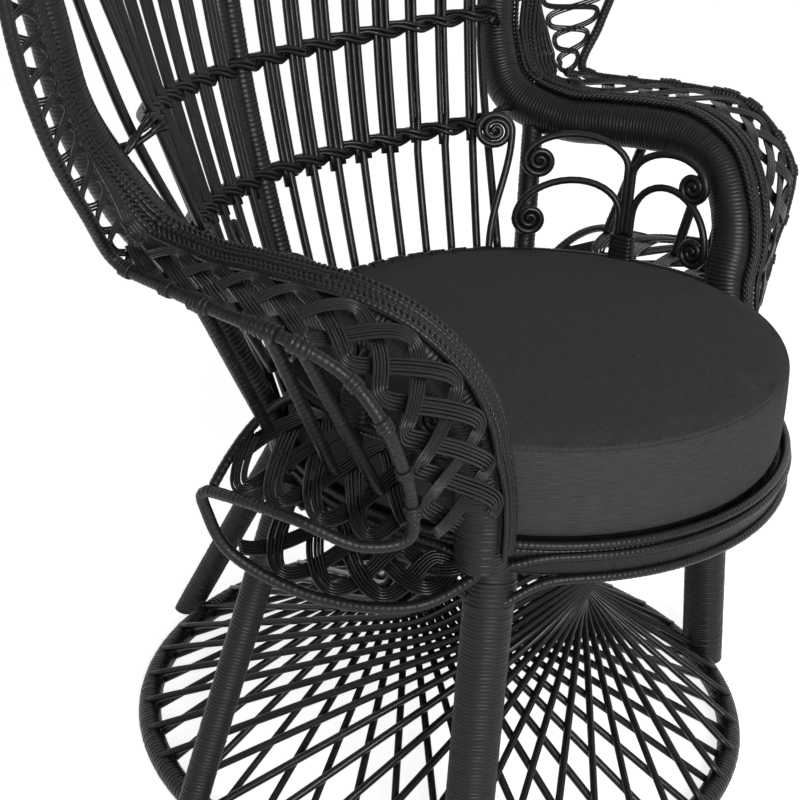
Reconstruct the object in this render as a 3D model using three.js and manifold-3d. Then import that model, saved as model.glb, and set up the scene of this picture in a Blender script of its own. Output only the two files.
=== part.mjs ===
// Peacock armchair: a wound and woven rattan frame that carries a loose round cushion.
// Millimetres, +Z up. The sitter faces -Y, so the sitter's left hand is on the +X side.
import * as THREE from 'three';
import { mergeVertices } from 'three/addons/utils/BufferGeometryUtils.js';
import Module from 'manifold-3d';

const wasm = await Module();
wasm.setup();

// Gap kept between pieces that are lashed or laid together on the real chair.
const clearance = 0.3;

// Cushion.
const cushionWidth = 504;
const cushionDepth = 480;
const cushionThickness = 84;
const cushionCrown = 14;
const cushionSideTuck = 9;

// Seat: a wound band with a woven deck inside it, and a hoop round the cushion's back and sides.
const seatHeight = 388;
const deckThickness = 12;
const bandMargin = 12;
const bandThickness = 14;
const bandHeight = 28;
const bandDrop = 4;
const hoopDiameter = 13;
const hoopGap = 9;
const hoopRise = 82;

// Base: a floor ring, legs that stand outside it, and an hourglass skirt of crossing rods.
const ringDiameter = 670;
const ringThickness = 25;
const ringSetback = 91;
const ringLift = 0.5;
const frontLegDiameter = 47;
const rearLegDiameter = 30;
const frontLegAngle = 55;
const sideLegAngle = 105.5;
const frontLegNotch = 16;
const rearLegSplay = 11;
const waistDiameter = 200;
const waistHeight = 176;
const waistSetback = 43;
const skirtRodsPerLayer = 39;
const skirtSectors = 3;
const skirtRodThickness = 6.5;
const skirtTwist = 58;
const skirtLayerGap = 7.5;
const skirtTopInset = 44;

// Arms and back: a thick wound roll, a braid beside it, an openwork flare and a wound rim.
const rollDiameter = 50;
const braidThickness = 9;
const flareThickness = 5;
const rimDiameter = 12;
const strutDiameter = 12;
const postDiameter = 24;
const postAngle = 34;
const archHalfWidth = 412;
const archShoulder = 592;
const archRise = 304;
const rimHalfWidth = 542;
const rimRise = 511;
const backDepth = 308;
const backLean = 0.35;
const rimForward = 120;

// Fan of the back.
const stakesPerSide = 8;
const stakeWidth = 10;
const bundleWidth = 20;
const stakeThickness = 7;
const weaveHeight = 16;
const weaveThickness = 5;
const weaveGap = 1.2;
const weaveLevels = [218, 330, 470, 620];
const weaveCrowns = [-29, -28, 10, 60];
const fanSpread = 51;
const fanArchSpread = 84;
const fanHalfWidth = 392;
const fanHollow = 36;
const fanBow = 44;

// Scrolled rods under the arms and beside the back.
const scrollRod = 5.2;
const scrollPitch = 5.9;
const scrollRadius = 17.4;
const scrollTurns = 2.25;
const tieWidth = 28;
const tieDepth = 16;
const tieHeight = 33;
const tieAngle = 9.5;
const stemRise = 20;
const backScrollAngle = 41;
const backScrollUp = 212;
const backScrollLean = 0.32;

// Values that follow from the ones above.
const seatX = cushionWidth / 2;
const seatY = cushionDepth / 2;
const bandTop = seatHeight - bandDrop;
const bandBottom = bandTop - bandHeight;
const bandMiddle = bandMargin - bandThickness / 2;
const hoopOffset = hoopGap + hoopDiameter / 2;
const hoopHeight = seatHeight + hoopRise;
const ringRadius = (ringDiameter - ringThickness) / 2;
const ringHeight = ringThickness / 2 + ringLift;
const rollRadius = rollDiameter / 2;
const rimRadius = rimDiameter / 2;
const degrees = Math.PI / 180;

const rattan = { color: 0x1b1918, roughness: 0.55, metalness: 0 };
const canvas = { color: 0x3b3c3f, roughness: 0.95, metalness: 0 };

// A curve from a function of 0..1, stepped evenly in that value rather than by length.
class Route extends THREE.Curve {
  constructor(place) {
    super();
    this.place = place;
  }

  getPoint(t) {
    return this.place(t);
  }

  getPointAt(t) {
    return this.getPoint(t);
  }

  getTangentAt(t) {
    return this.getTangent(t);
  }
}

const smooth = (points) => new THREE.CatmullRomCurve3(points, false, 'centripetal');
const stretch = (curve, from, to) => new Route((t) => curve.getPointAt(from + (to - from) * t));
const mix = (a, b, t) => a + (b - a) * t;

// A place given as out past the cushion's side, back from its middle and up from the deck.
const fromSeat = (out, back, up) => new THREE.Vector3(seatX + out, back, seatHeight + up);

// A point beside the cushion's plan, at an angle counted from +X towards the back.
function besideSeat(offset, angle, height) {
  const turn = angle * degrees;
  return new THREE.Vector3((seatX + offset) * Math.cos(turn), (seatY + offset) * Math.sin(turn), height);
}

// Makes a solid of a closed geometry, turned so that its faces point outwards.
function solidOf(geometry) {
  const bare = geometry.clone();
  bare.deleteAttribute('normal');
  bare.deleteAttribute('uv');
  const merged = mergeVertices(bare, 1e-4);
  const places = merged.getAttribute('position');
  const triVerts = new Uint32Array(merged.getIndex().array);
  const [a, b, c] = [new THREE.Vector3(), new THREE.Vector3(), new THREE.Vector3()];
  let volume = 0;
  for (let i = 0; i < triVerts.length; i += 3) {
    a.fromBufferAttribute(places, triVerts[i]);
    b.fromBufferAttribute(places, triVerts[i + 1]);
    c.fromBufferAttribute(places, triVerts[i + 2]);
    volume += a.dot(b.cross(c));
  }
  if (volume < 0) {
    for (let i = 0; i < triVerts.length; i += 3) {
      [triVerts[i], triVerts[i + 1]] = [triVerts[i + 1], triVerts[i]];
    }
  }
  const vertProperties = new Float32Array(places.array);
  return new wasm.Manifold(new wasm.Mesh({ numProp: 3, vertProperties, triVerts }));
}

// Keeps the main body of a solid that a cut has split.
function mainBody(solid) {
  const bodies = solid.decompose();
  return bodies.reduce((best, body) => (body.volume() > best.volume() ? body : best), bodies[0]);
}

const cut = (solid, ...tools) => mainBody(tools.reduce((rest, tool) => rest.subtract(tool), solid));
const join = (...solids) => solids.reduce((sum, solid) => sum.add(solid));

function tubeShape(curve, diameter, sides, steps) {
  const section = new THREE.Shape();
  for (let i = 0; i < sides; i += 1) {
    const turn = (i / sides) * 2 * Math.PI;
    const [x, y] = [Math.cos(turn) * diameter / 2, Math.sin(turn) * diameter / 2];
    if (i === 0) section.moveTo(x, y);
    else section.lineTo(x, y);
  }
  section.closePath();
  return new THREE.ExtrudeGeometry(section, { steps, bevelEnabled: false, extrudePath: curve });
}

const tube = (...measures) => solidOf(tubeShape(...measures));
const mirroredTube = (...measures) => solidOf(tubeShape(...measures).scale(-1, 1, 1));

// An upright oval wall between two offsets from the cushion's plan; no inner offset makes a plate.
function ovalWall(inner, outer, bottom, top, segments) {
  const outline = new THREE.Shape();
  outline.absellipse(0, 0, seatX + outer, seatY + outer, 0, 2 * Math.PI);
  if (inner !== null) {
    const hole = new THREE.Path();
    hole.absellipse(0, 0, seatX + inner, seatY + inner, 0, 2 * Math.PI);
    outline.holes.push(hole);
  }
  const options = { depth: top - bottom, bevelEnabled: false, curveSegments: segments };
  return solidOf(new THREE.ExtrudeGeometry(outline, options).translate(0, 0, bottom));
}

// Collects the corners and faces of a solid that is laid out on a bent grid.
class GridBuilder {
  constructor() {
    this.corners = [];
    this.faces = [];
  }

  corner(point) {
    this.corners.push(point.x, point.y, point.z);
    return this.corners.length / 3 - 1;
  }

  quad(a, b, c, d) {
    this.faces.push(a, b, c, a, c, d);
  }

  geometry() {
    const geometry = new THREE.BufferGeometry();
    geometry.setAttribute('position', new THREE.Float32BufferAttribute(this.corners, 3));
    geometry.setIndex(this.faces);
    return geometry;
  }
}

// Rods side by side with rails between them, from a grid of filled and empty cells one layer thick.
function comb(columns, rows, filled, place) {
  const grid = new GridBuilder();
  const seen = new Map();
  const at = (i, j, layer) => {
    const key = `${i} ${j} ${layer}`;
    if (!seen.has(key)) seen.set(key, grid.corner(place(i, j, layer)));
    return seen.get(key);
  };
  const full = (i, j) => i >= 0 && j >= 0 && i < columns && j < rows && filled(i, j);
  for (let i = 0; i < columns; i += 1) {
    for (let j = 0; j < rows; j += 1) {
      if (full(i, j)) {
        grid.quad(at(i, j, 1), at(i + 1, j, 1), at(i + 1, j + 1, 1), at(i, j + 1, 1));
        grid.quad(at(i, j, 0), at(i, j + 1, 0), at(i + 1, j + 1, 0), at(i + 1, j, 0));
        if (!full(i, j - 1)) grid.quad(at(i, j, 0), at(i + 1, j, 0), at(i + 1, j, 1), at(i, j, 1));
        if (!full(i, j + 1)) grid.quad(at(i + 1, j + 1, 0), at(i, j + 1, 0), at(i, j + 1, 1), at(i + 1, j + 1, 1));
        if (!full(i - 1, j)) grid.quad(at(i, j + 1, 0), at(i, j, 0), at(i, j, 1), at(i, j + 1, 1));
        if (!full(i + 1, j)) grid.quad(at(i + 1, j, 0), at(i + 1, j + 1, 0), at(i + 1, j + 1, 1), at(i + 1, j, 1));
      }
    }
  }
  return solidOf(grid.geometry());
}

// A bent sheet on a surface of (along, across), solid or with a diamond hole in each cell.
function sheet(surface, along, across, thickness, hole) {
  const grid = new GridBuilder();
  const step = 1e-3;
  const place = (u, v, side) => {
    const ahead = surface(Math.min(u + step, 1), v).sub(surface(Math.max(u - step, 0), v));
    const aside = surface(u, Math.min(v + step, 1)).sub(surface(u, Math.max(v - step, 0)));
    const normal = ahead.cross(aside).normalize();
    return surface(u, v).addScaledVector(normal, side * thickness / 2);
  };
  const seen = new Map();
  const at = (i, j, side) => {
    const key = `${i} ${j} ${side}`;
    if (!seen.has(key)) seen.set(key, grid.corner(place(i / along, j / across, side)));
    return seen.get(key);
  };
  for (let i = 0; i < along; i += 1) {
    for (let j = 0; j < across; j += 1) {
      const corners = [[i, j], [i + 1, j], [i + 1, j + 1], [i, j + 1]];
      if (hole === 0) {
        grid.quad(...corners.map(([a, b]) => at(a, b, 1)));
        grid.quad(...corners.map(([a, b]) => at(a, b, -1)).reverse());
      } else {
        const reach = hole / 2;
        const middles = [[0, -reach], [reach, 0], [0, reach], [-reach, 0]]
          .map(([a, b]) => [i + 0.5 + a, j + 0.5 + b]);
        for (let k = 0; k < 4; k += 1) {
          const [from, to] = [corners[k], corners[(k + 1) % 4]];
          const [near, next] = [middles[k], middles[(k + 1) % 4]];
          grid.faces.push(at(...from, 1), at(...to, 1), at(...near, 1));
          grid.faces.push(at(...to, 1), at(...next, 1), at(...near, 1));
          grid.faces.push(at(...to, -1), at(...from, -1), at(...near, -1));
          grid.faces.push(at(...next, -1), at(...to, -1), at(...near, -1));
          grid.quad(at(...near, 1), at(...next, 1), at(...next, -1), at(...near, -1));
        }
      }
      if (j === 0) grid.quad(at(i, j, -1), at(i + 1, j, -1), at(i + 1, j, 1), at(i, j, 1));
      if (j === across - 1) grid.quad(at(i + 1, j + 1, -1), at(i, j + 1, -1), at(i, j + 1, 1), at(i + 1, j + 1, 1));
      if (i === 0) grid.quad(at(i, j + 1, -1), at(i, j, -1), at(i, j, 1), at(i, j + 1, 1));
      if (i === along - 1) grid.quad(at(i + 1, j, -1), at(i + 1, j + 1, -1), at(i + 1, j + 1, 1), at(i + 1, j, 1));
    }
  }
  return solidOf(grid.geometry());
}

// A surface between two routes, from one distance off the first to another off the second.
function between(first, second, fromFirst, fromSecond) {
  return (u, v) => {
    const [a, b] = [first.getPointAt(u), second.getPointAt(u)];
    const width = a.distanceTo(b);
    return a.lerp(b, mix(fromFirst / width, 1 - fromSecond / width, v));
  };
}

const chair = new THREE.Group();
chair.name = 'peacock_armchair';

function addPiece(name, solid, finish, flipped = false) {
  const { vertProperties, triVerts } = solid.getMesh();
  const geometry = new THREE.BufferGeometry();
  const faces = new Uint32Array(triVerts);
  geometry.setAttribute('position', new THREE.BufferAttribute(new Float32Array(vertProperties), 3));
  geometry.setIndex(new THREE.BufferAttribute(flipped ? faces.reverse() : faces, 1));
  if (flipped) geometry.scale(-1, 1, 1);
  geometry.computeVertexNormals();
  const mesh = new THREE.Mesh(geometry, new THREE.MeshStandardMaterial(finish));
  mesh.name = name;
  chair.add(mesh);
}

// The two pieces of a pair: the left one is the solid, the right one is its mirror image.
function addPair(name, solid, finish) {
  addPiece(`${name}_left`, solid, finish);
  addPiece(`${name}_right`, solid, finish, true);
}

const mirrored = (point) => new THREE.Vector3(-point.x, point.y, point.z);

// Roll: up the front of the arm, back along it, round the waist and over the back.
const backPlane = (up) => backDepth + backLean * (up - archShoulder);
const archPoint = (turn, halfWidth = archHalfWidth) => new THREE.Vector3(
  halfWidth * Math.cos(turn * degrees),
  backPlane(archShoulder + archRise * Math.sin(turn * degrees)),
  seatHeight + archShoulder + archRise * Math.sin(turn * degrees),
);
const armRollPoints = [
  fromSeat(8, -92, -16),
  fromSeat(9, -92, 44),
  fromSeat(14, -85, 92),
  fromSeat(27, -83, 131),
  fromSeat(45, -68, 171),
  fromSeat(64, -40, 204),
  fromSeat(75, 4, 221),
  fromSeat(75, 50, 222),
  fromSeat(70, 100, 219),
  fromSeat(65, 156, 216),
];
const waist = fromSeat(65, 224, 236);
const archPoints = [
  fromSeat(86, 258, 288),
  fromSeat(114, 271, 345),
  fromSeat(139, 279, 440),
  archPoint(0),
  archPoint(22),
  archPoint(44),
  archPoint(66),
];
const rollPoints = [...armRollPoints, waist, ...archPoints];
const roll = smooth([...rollPoints, archPoint(90), ...rollPoints.map(mirrored).reverse()]);

// Rim: from its tip behind the arm, forward under it, up round the front, back, and over the back.
const rimPoint = (turn) => {
  const up = archShoulder + rimRise * Math.sin(turn * degrees);
  return new THREE.Vector3(rimHalfWidth * Math.cos(turn * degrees), backPlane(up) - rimForward, seatHeight + up);
};
const rimTip = fromSeat(154, 96, 58);
const underRimPoints = [
  rimTip,
  fromSeat(163, 50, 66),
  fromSeat(166, -4, 68),
  fromSeat(145, -56, 51),
  fromSeat(122, -86, 58),
];
const armRimPoints = [
  fromSeat(128, -90, 100),
  fromSeat(150, -92, 142),
  fromSeat(168, -86, 180),
  fromSeat(177, -58, 214),
  fromSeat(192, -12, 238),
  fromSeat(190, 49, 243),
  fromSeat(172, 127, 242),
];
const rimCorner = fromSeat(164, 184, 248);
const backRimPoints = [
  fromSeat(197, 183, 295),
  fromSeat(242, 179, 365),
  fromSeat(274, 180, 450),
  rimPoint(0),
  rimPoint(22),
  rimPoint(44),
  rimPoint(66),
];
const rimPoints = [...underRimPoints, ...armRimPoints, rimCorner, ...backRimPoints];
const rim = smooth([...rimPoints, rimPoint(90), ...rimPoints.map(mirrored).reverse()]);

// The share of a curve's length at which it passes closest to a point.
function shareAt(curve, point) {
  const samples = 2000;
  let best = 0;
  for (let i = 1; i <= samples; i += 1) {
    const near = curve.getPointAt(i / samples).distanceTo(point);
    if (near < curve.getPointAt(best / samples).distanceTo(point)) best = i;
  }
  return best / samples;
}

const seamShare = clearance / 2 / roll.getLength();
const rollWaist = shareAt(roll, waist);
const rimWaist = shareAt(rim, rimCorner);
const rimFront = shareAt(rim, underRimPoints.at(-1));

const armRoll = stretch(roll, 0, rollWaist - seamShare);
const backRoll = stretch(roll, rollWaist + seamShare, 1 - rollWaist - seamShare);
const armRim = stretch(rim, 0, rimWaist - seamShare);
const backRim = stretch(rim, rimWaist + seamShare, 1 - rimWaist - seamShare);

// Seat.
const ovalSegments = 24;
const bandGrown = ovalWall(bandMargin - bandThickness - clearance, bandMargin + clearance,
  bandBottom - clearance, bandTop + clearance, ovalSegments);
addPiece('seat_band', ovalWall(bandMargin - bandThickness, bandMargin, bandBottom, bandTop, ovalSegments), rattan);
const deckOuter = bandMargin - bandThickness - clearance;
addPiece('seat_deck', ovalWall(null, deckOuter, seatHeight - deckThickness, seatHeight, ovalSegments), rattan);
const deckGrown = ovalWall(null, deckOuter, seatHeight - deckThickness - clearance, seatHeight + clearance, ovalSegments);

// Floor ring and legs.
const ringSolid = (grow) => solidOf(new THREE.TorusGeometry(ringRadius, ringThickness / 2 + grow, 6, 38)
  .translate(0, ringSetback, ringHeight));
addPiece('base_ring', ringSolid(0), rattan);

const floorDepth = 100;
const floorBlock = solidOf(new THREE.BoxGeometry(4 * ringDiameter, 4 * ringDiameter, floorDepth)
  .translate(0, 0, -floorDepth / 2));
const ringGrown = ringSolid(clearance);

// A leg stands beside the ring at an angle counted from the front, and leans in to the seat band.
// A negative splay lets it into the ring, which notches it.
function legLine(angle, splay, bandAngle, diameter, topOffset) {
  const turn = angle * degrees;
  const reach = ringDiameter / 2 + diameter / 2 + clearance + splay;
  const foot = new THREE.Vector3(reach * Math.sin(turn), ringSetback - reach * Math.cos(turn), 0);
  const top = besideSeat(topOffset, bandAngle, (bandTop + bandBottom) / 2);
  const below = foot.clone().addScaledVector(top.clone().sub(foot), -0.1);
  return new THREE.LineCurve3(below, top);
}

const rearLegOffset = bandMargin + rearLegDiameter / 4;
const frontLegLine = legLine(frontLegAngle, -frontLegNotch, -22, frontLegDiameter, bandMiddle);
const sideLegLine = legLine(sideLegAngle, 0, 33, rearLegDiameter, rearLegOffset);
const backLegLine = legLine(180, rearLegSplay, 90, rearLegDiameter, rearLegOffset);
const legSolid = (line, diameter) => cut(tube(line, diameter, 14, 1), floorBlock, bandGrown, deckGrown, ringGrown);
addPair('leg_front', legSolid(frontLegLine, frontLegDiameter), rattan);
addPair('leg_side', legSolid(sideLegLine, rearLegDiameter), rattan);
addPiece('leg_back', legSolid(backLegLine, rearLegDiameter), rattan);
const grownLeg = (line, diameter) => tube(line, diameter + 2 * clearance, 14, 1);
const frontLegGrown = grownLeg(frontLegLine, frontLegDiameter);
const frontLegsGrown = join(frontLegGrown, mirroredTube(frontLegLine, frontLegDiameter + 2 * clearance, 14, 1));
const sideLegGrown = grownLeg(sideLegLine, rearLegDiameter);
const backLegGrown = grownLeg(backLegLine, rearLegDiameter);

// Skirt: two layers of straight rods that lean opposite ways from the ring to the waist and on to
// the deck. Each layer is tied at the waist and shared out in sectors.
const waistRadius = waistDiameter / 2;
const skirtSlope = Math.atan2(waistHeight - ringHeight, ringRadius - waistRadius);
const skirtStart = ringThickness / 2 + 4 * clearance;
const railHeight = 8;
const railTwist = 3;
const skirtRows = [
  {
    radius: [ringRadius, ringRadius].map((radius) => radius - skirtStart * Math.cos(skirtSlope)),
    setback: ringSetback,
    height: ringHeight + skirtStart * Math.sin(skirtSlope),
    twist: 0,
    tilt: skirtSlope,
  },
  {
    radius: [waistRadius, waistRadius],
    setback: waistSetback,
    height: waistHeight - railHeight / 2,
    twist: skirtTwist - railTwist,
    tilt: Math.PI / 2,
  },
  {
    radius: [waistRadius, waistRadius],
    setback: waistSetback,
    height: waistHeight + railHeight / 2,
    twist: skirtTwist + railTwist,
    tilt: Math.PI / 2,
  },
  {
    radius: [seatX - skirtTopInset, seatY - skirtTopInset],
    setback: 0,
    height: seatHeight - deckThickness - clearance - 0.4 * skirtRodThickness,
    twist: 2 * skirtTwist,
    tilt: Math.PI / 2,
  },
];

// The middle of a rod at one row, and the way out of the skirt's surface there.
function skirtSpot(layer, rod, row) {
  const turn = (rod / skirtRodsPerLayer) * 2 * Math.PI + layer * row.twist * degrees;
  const [radiusX, radiusY] = row.radius;
  const spot = new THREE.Vector3(radiusX * Math.cos(turn), row.setback + radiusY * Math.sin(turn), row.height);
  const out = new THREE.Vector3(
    Math.sin(row.tilt) * Math.cos(turn),
    Math.sin(row.tilt) * Math.sin(turn),
    Math.cos(row.tilt),
  );
  return { spot, out };
}

function skirtSector(layer, sector) {
  const count = skirtRodsPerLayer / skirtSectors;
  const place = (i, j, side) => {
    const rod = sector * count + Math.floor(i / 2);
    const { spot, out } = skirtSpot(layer, rod, skirtRows[j]);
    const [low, high] = j < 2 ? [0, 1] : [2, 3];
    const run = skirtSpot(layer, rod, skirtRows[high]).spot.sub(skirtSpot(layer, rod, skirtRows[low]).spot);
    const across = run.cross(out).normalize().multiplyScalar(layer * skirtRodThickness / 2);
    const off = layer * (skirtLayerGap + skirtRodThickness) / 2 + (side - 0.5) * skirtRodThickness;
    return spot.addScaledVector(out, off).addScaledVector(across, i % 2 === 0 ? -1 : 1);
  };
  return comb(2 * count - 1, 3, (i, j) => i % 2 === 0 || j === 1, place);
}

for (let sector = 0; sector < skirtSectors; sector += 1) {
  addPiece(`skirt_outer_${sector + 1}`, cut(skirtSector(1, sector), frontLegsGrown), rattan);
  addPiece(`skirt_inner_${sector + 1}`, cut(skirtSector(-1, sector), frontLegsGrown), rattan);
}

// Rolls of the arms and the back.
const grown = 2 * clearance;
const armRollGrown = tube(armRoll, rollDiameter + grown, 8, 24);
addPair('arm_roll', cut(tube(armRoll, rollDiameter, 8, 24), bandGrown, deckGrown, frontLegGrown), rattan);
addPiece('back_roll', tube(backRoll, rollDiameter, 8, 34), rattan);
const backRollGrown = tube(backRoll, rollDiameter + grown, 8, 34);
const armRollsGrown = join(armRollGrown, mirroredTube(armRoll, rollDiameter + grown, 8, 24));
const rollsGrown = join(armRollsGrown, backRollGrown);

// Rims.
addPair('arm_rim', tube(armRim, rimDiameter, 6, 32), rattan);
addPiece('back_rim', tube(backRim, rimDiameter, 6, 38), rattan);
const armRimGrown = tube(armRim, rimDiameter + grown, 6, 32);
const backRimGrown = tube(backRim, rimDiameter + grown, 6, 38);

// Braid and flare of an arm, from the front of the seat to the waist.
const trim = 0.004;
const openness = 0.72;
const armCells = 14;
const backCells = 30;
const armUnderCells = 7;
const armRollRun = stretch(roll, rollWaist * 0.12, rollWaist * (1 - trim));
const armRimRun = stretch(rim, rimFront, rimWaist - (rimWaist - rimFront) * trim);

// A place beside the first of two routes: so far aside towards the second, and so far out of the
// face that the two make (up on an arm, forward on the back).
function beside(first, second, u, aside, face) {
  const start = first.getPointAt(u);
  const ahead = first.getTangentAt(u);
  const across = second.getPointAt(u).sub(start);
  across.addScaledVector(ahead, -across.dot(ahead)).normalize();
  const out = across.clone().cross(ahead);
  return start.addScaledVector(across, aside).addScaledVector(out, face);
}

// Where the braid's two edges lie round the roll: share of the run, then aside and face of each edge.
// It lies on the roll along the arms and beside it on the back.
const armBraidPlan = [
  [0, -14, 27, 13, 30],
  [0.3, -9, 29, 25, 29],
  [0.55, 0, 31, 38, 20],
  [0.8, 2, 31, 40, 17],
  [1, 14, 27, 44, 12],
];
const backBraidPlan = [
  [0, 14, 27, 44, 12],
  [0.07, 28, 9, 53, 6],
  [0.16, 30, 0, 55, 0],
  [0.5, 30, 0, 55, 0],
];
function braidEdges(plan, share) {
  const row = Math.max(1, plan.findIndex(([end]) => share <= end));
  const [low, high] = [plan[row - 1], plan[row]];
  const part = (share - low[0]) / (high[0] - low[0]);
  return low.map((value, k) => mix(value, high[k], part)).slice(1);
}
function braidSurface(first, second, edges) {
  return (u, v) => {
    const [innerAside, innerFace, outerAside, outerFace] = edges(u);
    return beside(first, second, u, mix(innerAside, outerAside, v), mix(innerFace, outerFace, v));
  };
}
function flareSurface(first, second, edges) {
  return (u, v) => {
    const [, , outerAside, outerFace] = edges(u);
    const start = beside(first, second, u, outerAside, outerFace);
    const end = second.getPointAt(u);
    const width = start.distanceTo(end);
    return start.lerp(end, mix(4 * clearance / width, 1 - (rimRadius + clearance) / width, v));
  };
}
const armEdges = (u) => braidEdges(armBraidPlan, u);
const armBraidSurface = braidSurface(armRollRun, armRimRun, armEdges);
addPair('arm_braid', cut(sheet(armBraidSurface, armCells, 1, braidThickness, 0), armRollGrown), rattan);
const armFlareSurface = flareSurface(armRollRun, armRimRun, armEdges);

// Braid and flare of the back.
const backRollRun = stretch(roll, rollWaist + trim * (1 - rollWaist), 1 - rollWaist - trim * (1 - rollWaist));
const backRimRun = stretch(rim, rimWaist + trim * (1 - rimWaist), 1 - rimWaist - trim * (1 - rimWaist));
const backEdges = (u) => braidEdges(backBraidPlan, Math.min(u, 1 - u));
const backBraidSurface = braidSurface(backRollRun, backRimRun, backEdges);
addPiece('back_braid', cut(sheet(backBraidSurface, backCells, 1, braidThickness, 0), backRollGrown), rattan);
const backFlareSurface = flareSurface(backRollRun, backRimRun, backEdges);
const backFlare = sheet(backFlareSurface, backCells, 1, flareThickness, openness);
addPiece('back_flare', cut(backFlare, backRimGrown), rattan);

// Hoop round the cushion, between the feet of the arms.
const hoopEnd = -21;
const hoop = new Route((t) => besideSeat(hoopOffset, mix(hoopEnd, 180 - hoopEnd, t), hoopHeight));
addPiece('seat_hoop', cut(tube(hoop, hoopDiameter, 6, 26), armRollsGrown), rattan);
const hoopGrown = tube(hoop, hoopDiameter + grown, 6, 26);

// Scrolls lie on the upright wall over the hoop: along is the run round it, up the height on it.
const wallLength = (seatX + seatY) / 2 + hoopOffset;
function onWall(along, up, angle, lean) {
  return besideSeat(hoopOffset + lean * (up - hoopHeight), angle + (along / wallLength) / degrees, up);
}

// Tie: the wound block on the hoop that holds the feet of an arm's scrolls.
const tieTop = hoopHeight + tieHeight;
const tieMiddle = onWall(0, hoopHeight + tieHeight / 2, tieAngle, 0);
const tieBlock = (grow) => solidOf(new THREE.BoxGeometry(tieDepth + grow, tieWidth + grow, tieHeight + grow)
  .rotateZ(tieAngle * degrees).translate(tieMiddle.x, tieMiddle.y, tieMiddle.z));
addPair('scroll_tie', cut(tieBlock(0), hoopGrown), rattan);

// Flare under an arm, from the hoop out to the rim's lower run.
const underRimRun = stretch(rim, rimFront * 0.97, rimFront * 0.06);
const hoopRun = new Route((t) => besideSeat(hoopOffset, mix(-10, 25, t), hoopHeight));
const underSurface = between(hoopRun, underRimRun, hoopDiameter / 2 + 2 * clearance, rimRadius + clearance);

// Lower rim of an arm: from the tip, down and forward to the head of the front leg.
const lowerRimStart = rimTip.clone().addScaledVector(armRim.getTangentAt(0), -clearance);
const lowerRim = smooth([
  lowerRimStart,
  fromSeat(146, 98, 30),
  fromSeat(134, 88, -8),
  fromSeat(106, 16, -42),
  fromSeat(64, -64, -42),
  besideSeat(bandMargin, -24, bandBottom + bandHeight / 2),
]);
const lowerRimSolid = tube(new Route((t) => lowerRim.getPointAt(t)), rimDiameter, 6, 20);
addPair('arm_lower_rim', cut(lowerRimSolid, frontLegGrown, bandGrown, armRollGrown, armRimGrown), rattan);
const lowerRimGrown = tube(new Route((t) => lowerRim.getPointAt(t)), rimDiameter + grown, 6, 20);

// Flare from the seat band out to the lower rim.
const lowerRimRun = stretch(lowerRim, 0.9, 0.3);
const bandRun = new Route((t) => besideSeat(bandMargin, mix(-14, 21, t), bandBottom + bandHeight / 2));
const lowerSurface = between(bandRun, lowerRimRun, 2 * clearance, rimRadius + clearance);
const lowerFlare = cut(sheet(lowerSurface, 7, 1, flareThickness, openness), lowerRimGrown, frontLegGrown, bandGrown,
  sideLegGrown);
addPair('arm_lower_flare', lowerFlare, rattan);

// Struts from the rim of an arm down to the flare under it. Both flares are notched round them.
const strutTops = [fromSeat(187, -22, 232), fromSeat(193, 6, 242), fromSeat(184, 80, 242)];
const strutCells = [1.5, 3.25, 6.6];
const strutsGrown = [];
strutTops.forEach((near, k) => {
  const top = rim.getPointAt(shareAt(rim, near));
  const line = new THREE.LineCurve3(underSurface(strutCells[k] / armUnderCells, 0.5), top);
  addPair(`arm_strut_${k + 1}`, cut(tube(line, strutDiameter, 8, 1), armRimGrown), rattan);
  strutsGrown.push(tube(line, strutDiameter + grown, 8, 1));
});
const armFlare = sheet(armFlareSurface, armCells, 1, flareThickness, openness);
addPair('arm_flare', cut(armFlare, armRimGrown, ...strutsGrown), rattan);
const underFlare = sheet(underSurface, armUnderCells, 1, flareThickness, openness);
addPair('arm_under_flare', cut(underFlare, armRimGrown, hoopGrown, armRollGrown, tieBlock(grown), ...strutsGrown), rattan);

// Posts that stand on the seat band and lean out, past the hoop, to the arm rolls.
const postLine = new THREE.LineCurve3(
  besideSeat(bandMiddle + 2, postAngle, bandTop - 6),
  roll.getPointAt(shareAt(roll, fromSeat(64, 192, 222))),
);
const postRoute = new Route((t) => postLine.getPointAt(t));
const postSolid = cut(tube(postRoute, postDiameter, 10, 1), armRollGrown, bandGrown, deckGrown);
addPair('back_post', postSolid, rattan);
const postGrown = tube(postRoute, postDiameter + grown, 10, 1);

// The fan: a line for each share from the middle of the back to its side, and for each height.
function fanPoint(share, height, behind) {
  const side = Math.sign(share) || 1;
  const angle = 90 - fanSpread * Math.abs(share);
  const middle = 1 - share * share;
  const stand = hoopDiameter / 2 + stakeThickness / 2 + clearance + behind;
  const foot = besideSeat(hoopOffset + stand + fanHollow * middle, angle, hoopHeight);
  const top = archPoint(90 - fanArchSpread * Math.abs(share), fanHalfWidth);
  top.y += behind;
  const rise = (height - hoopHeight) / (top.z - hoopHeight);
  let point = foot.clone().lerp(top, rise);
  point.y += fanBow * middle * 4 * rise * (1 - rise);
  if (height < hoopHeight) {
    const seat = besideSeat(bandMargin + stakeThickness / 2 + clearance + behind, angle, bandBottom);
    point = foot.clone().lerp(seat, (hoopHeight - height) / (hoopHeight - bandBottom));
  }
  return new THREE.Vector3(side * point.x, point.y, point.z);
}
const fanTop = (share) => archPoint(90 - fanArchSpread * Math.abs(share)).z;

// The height of a weave's middle line, which dips or rises towards the middle of the back.
const weaveLevel = (k, share) => seatHeight + weaveLevels[k] + weaveCrowns[k] * (1 - share * share);

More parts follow.
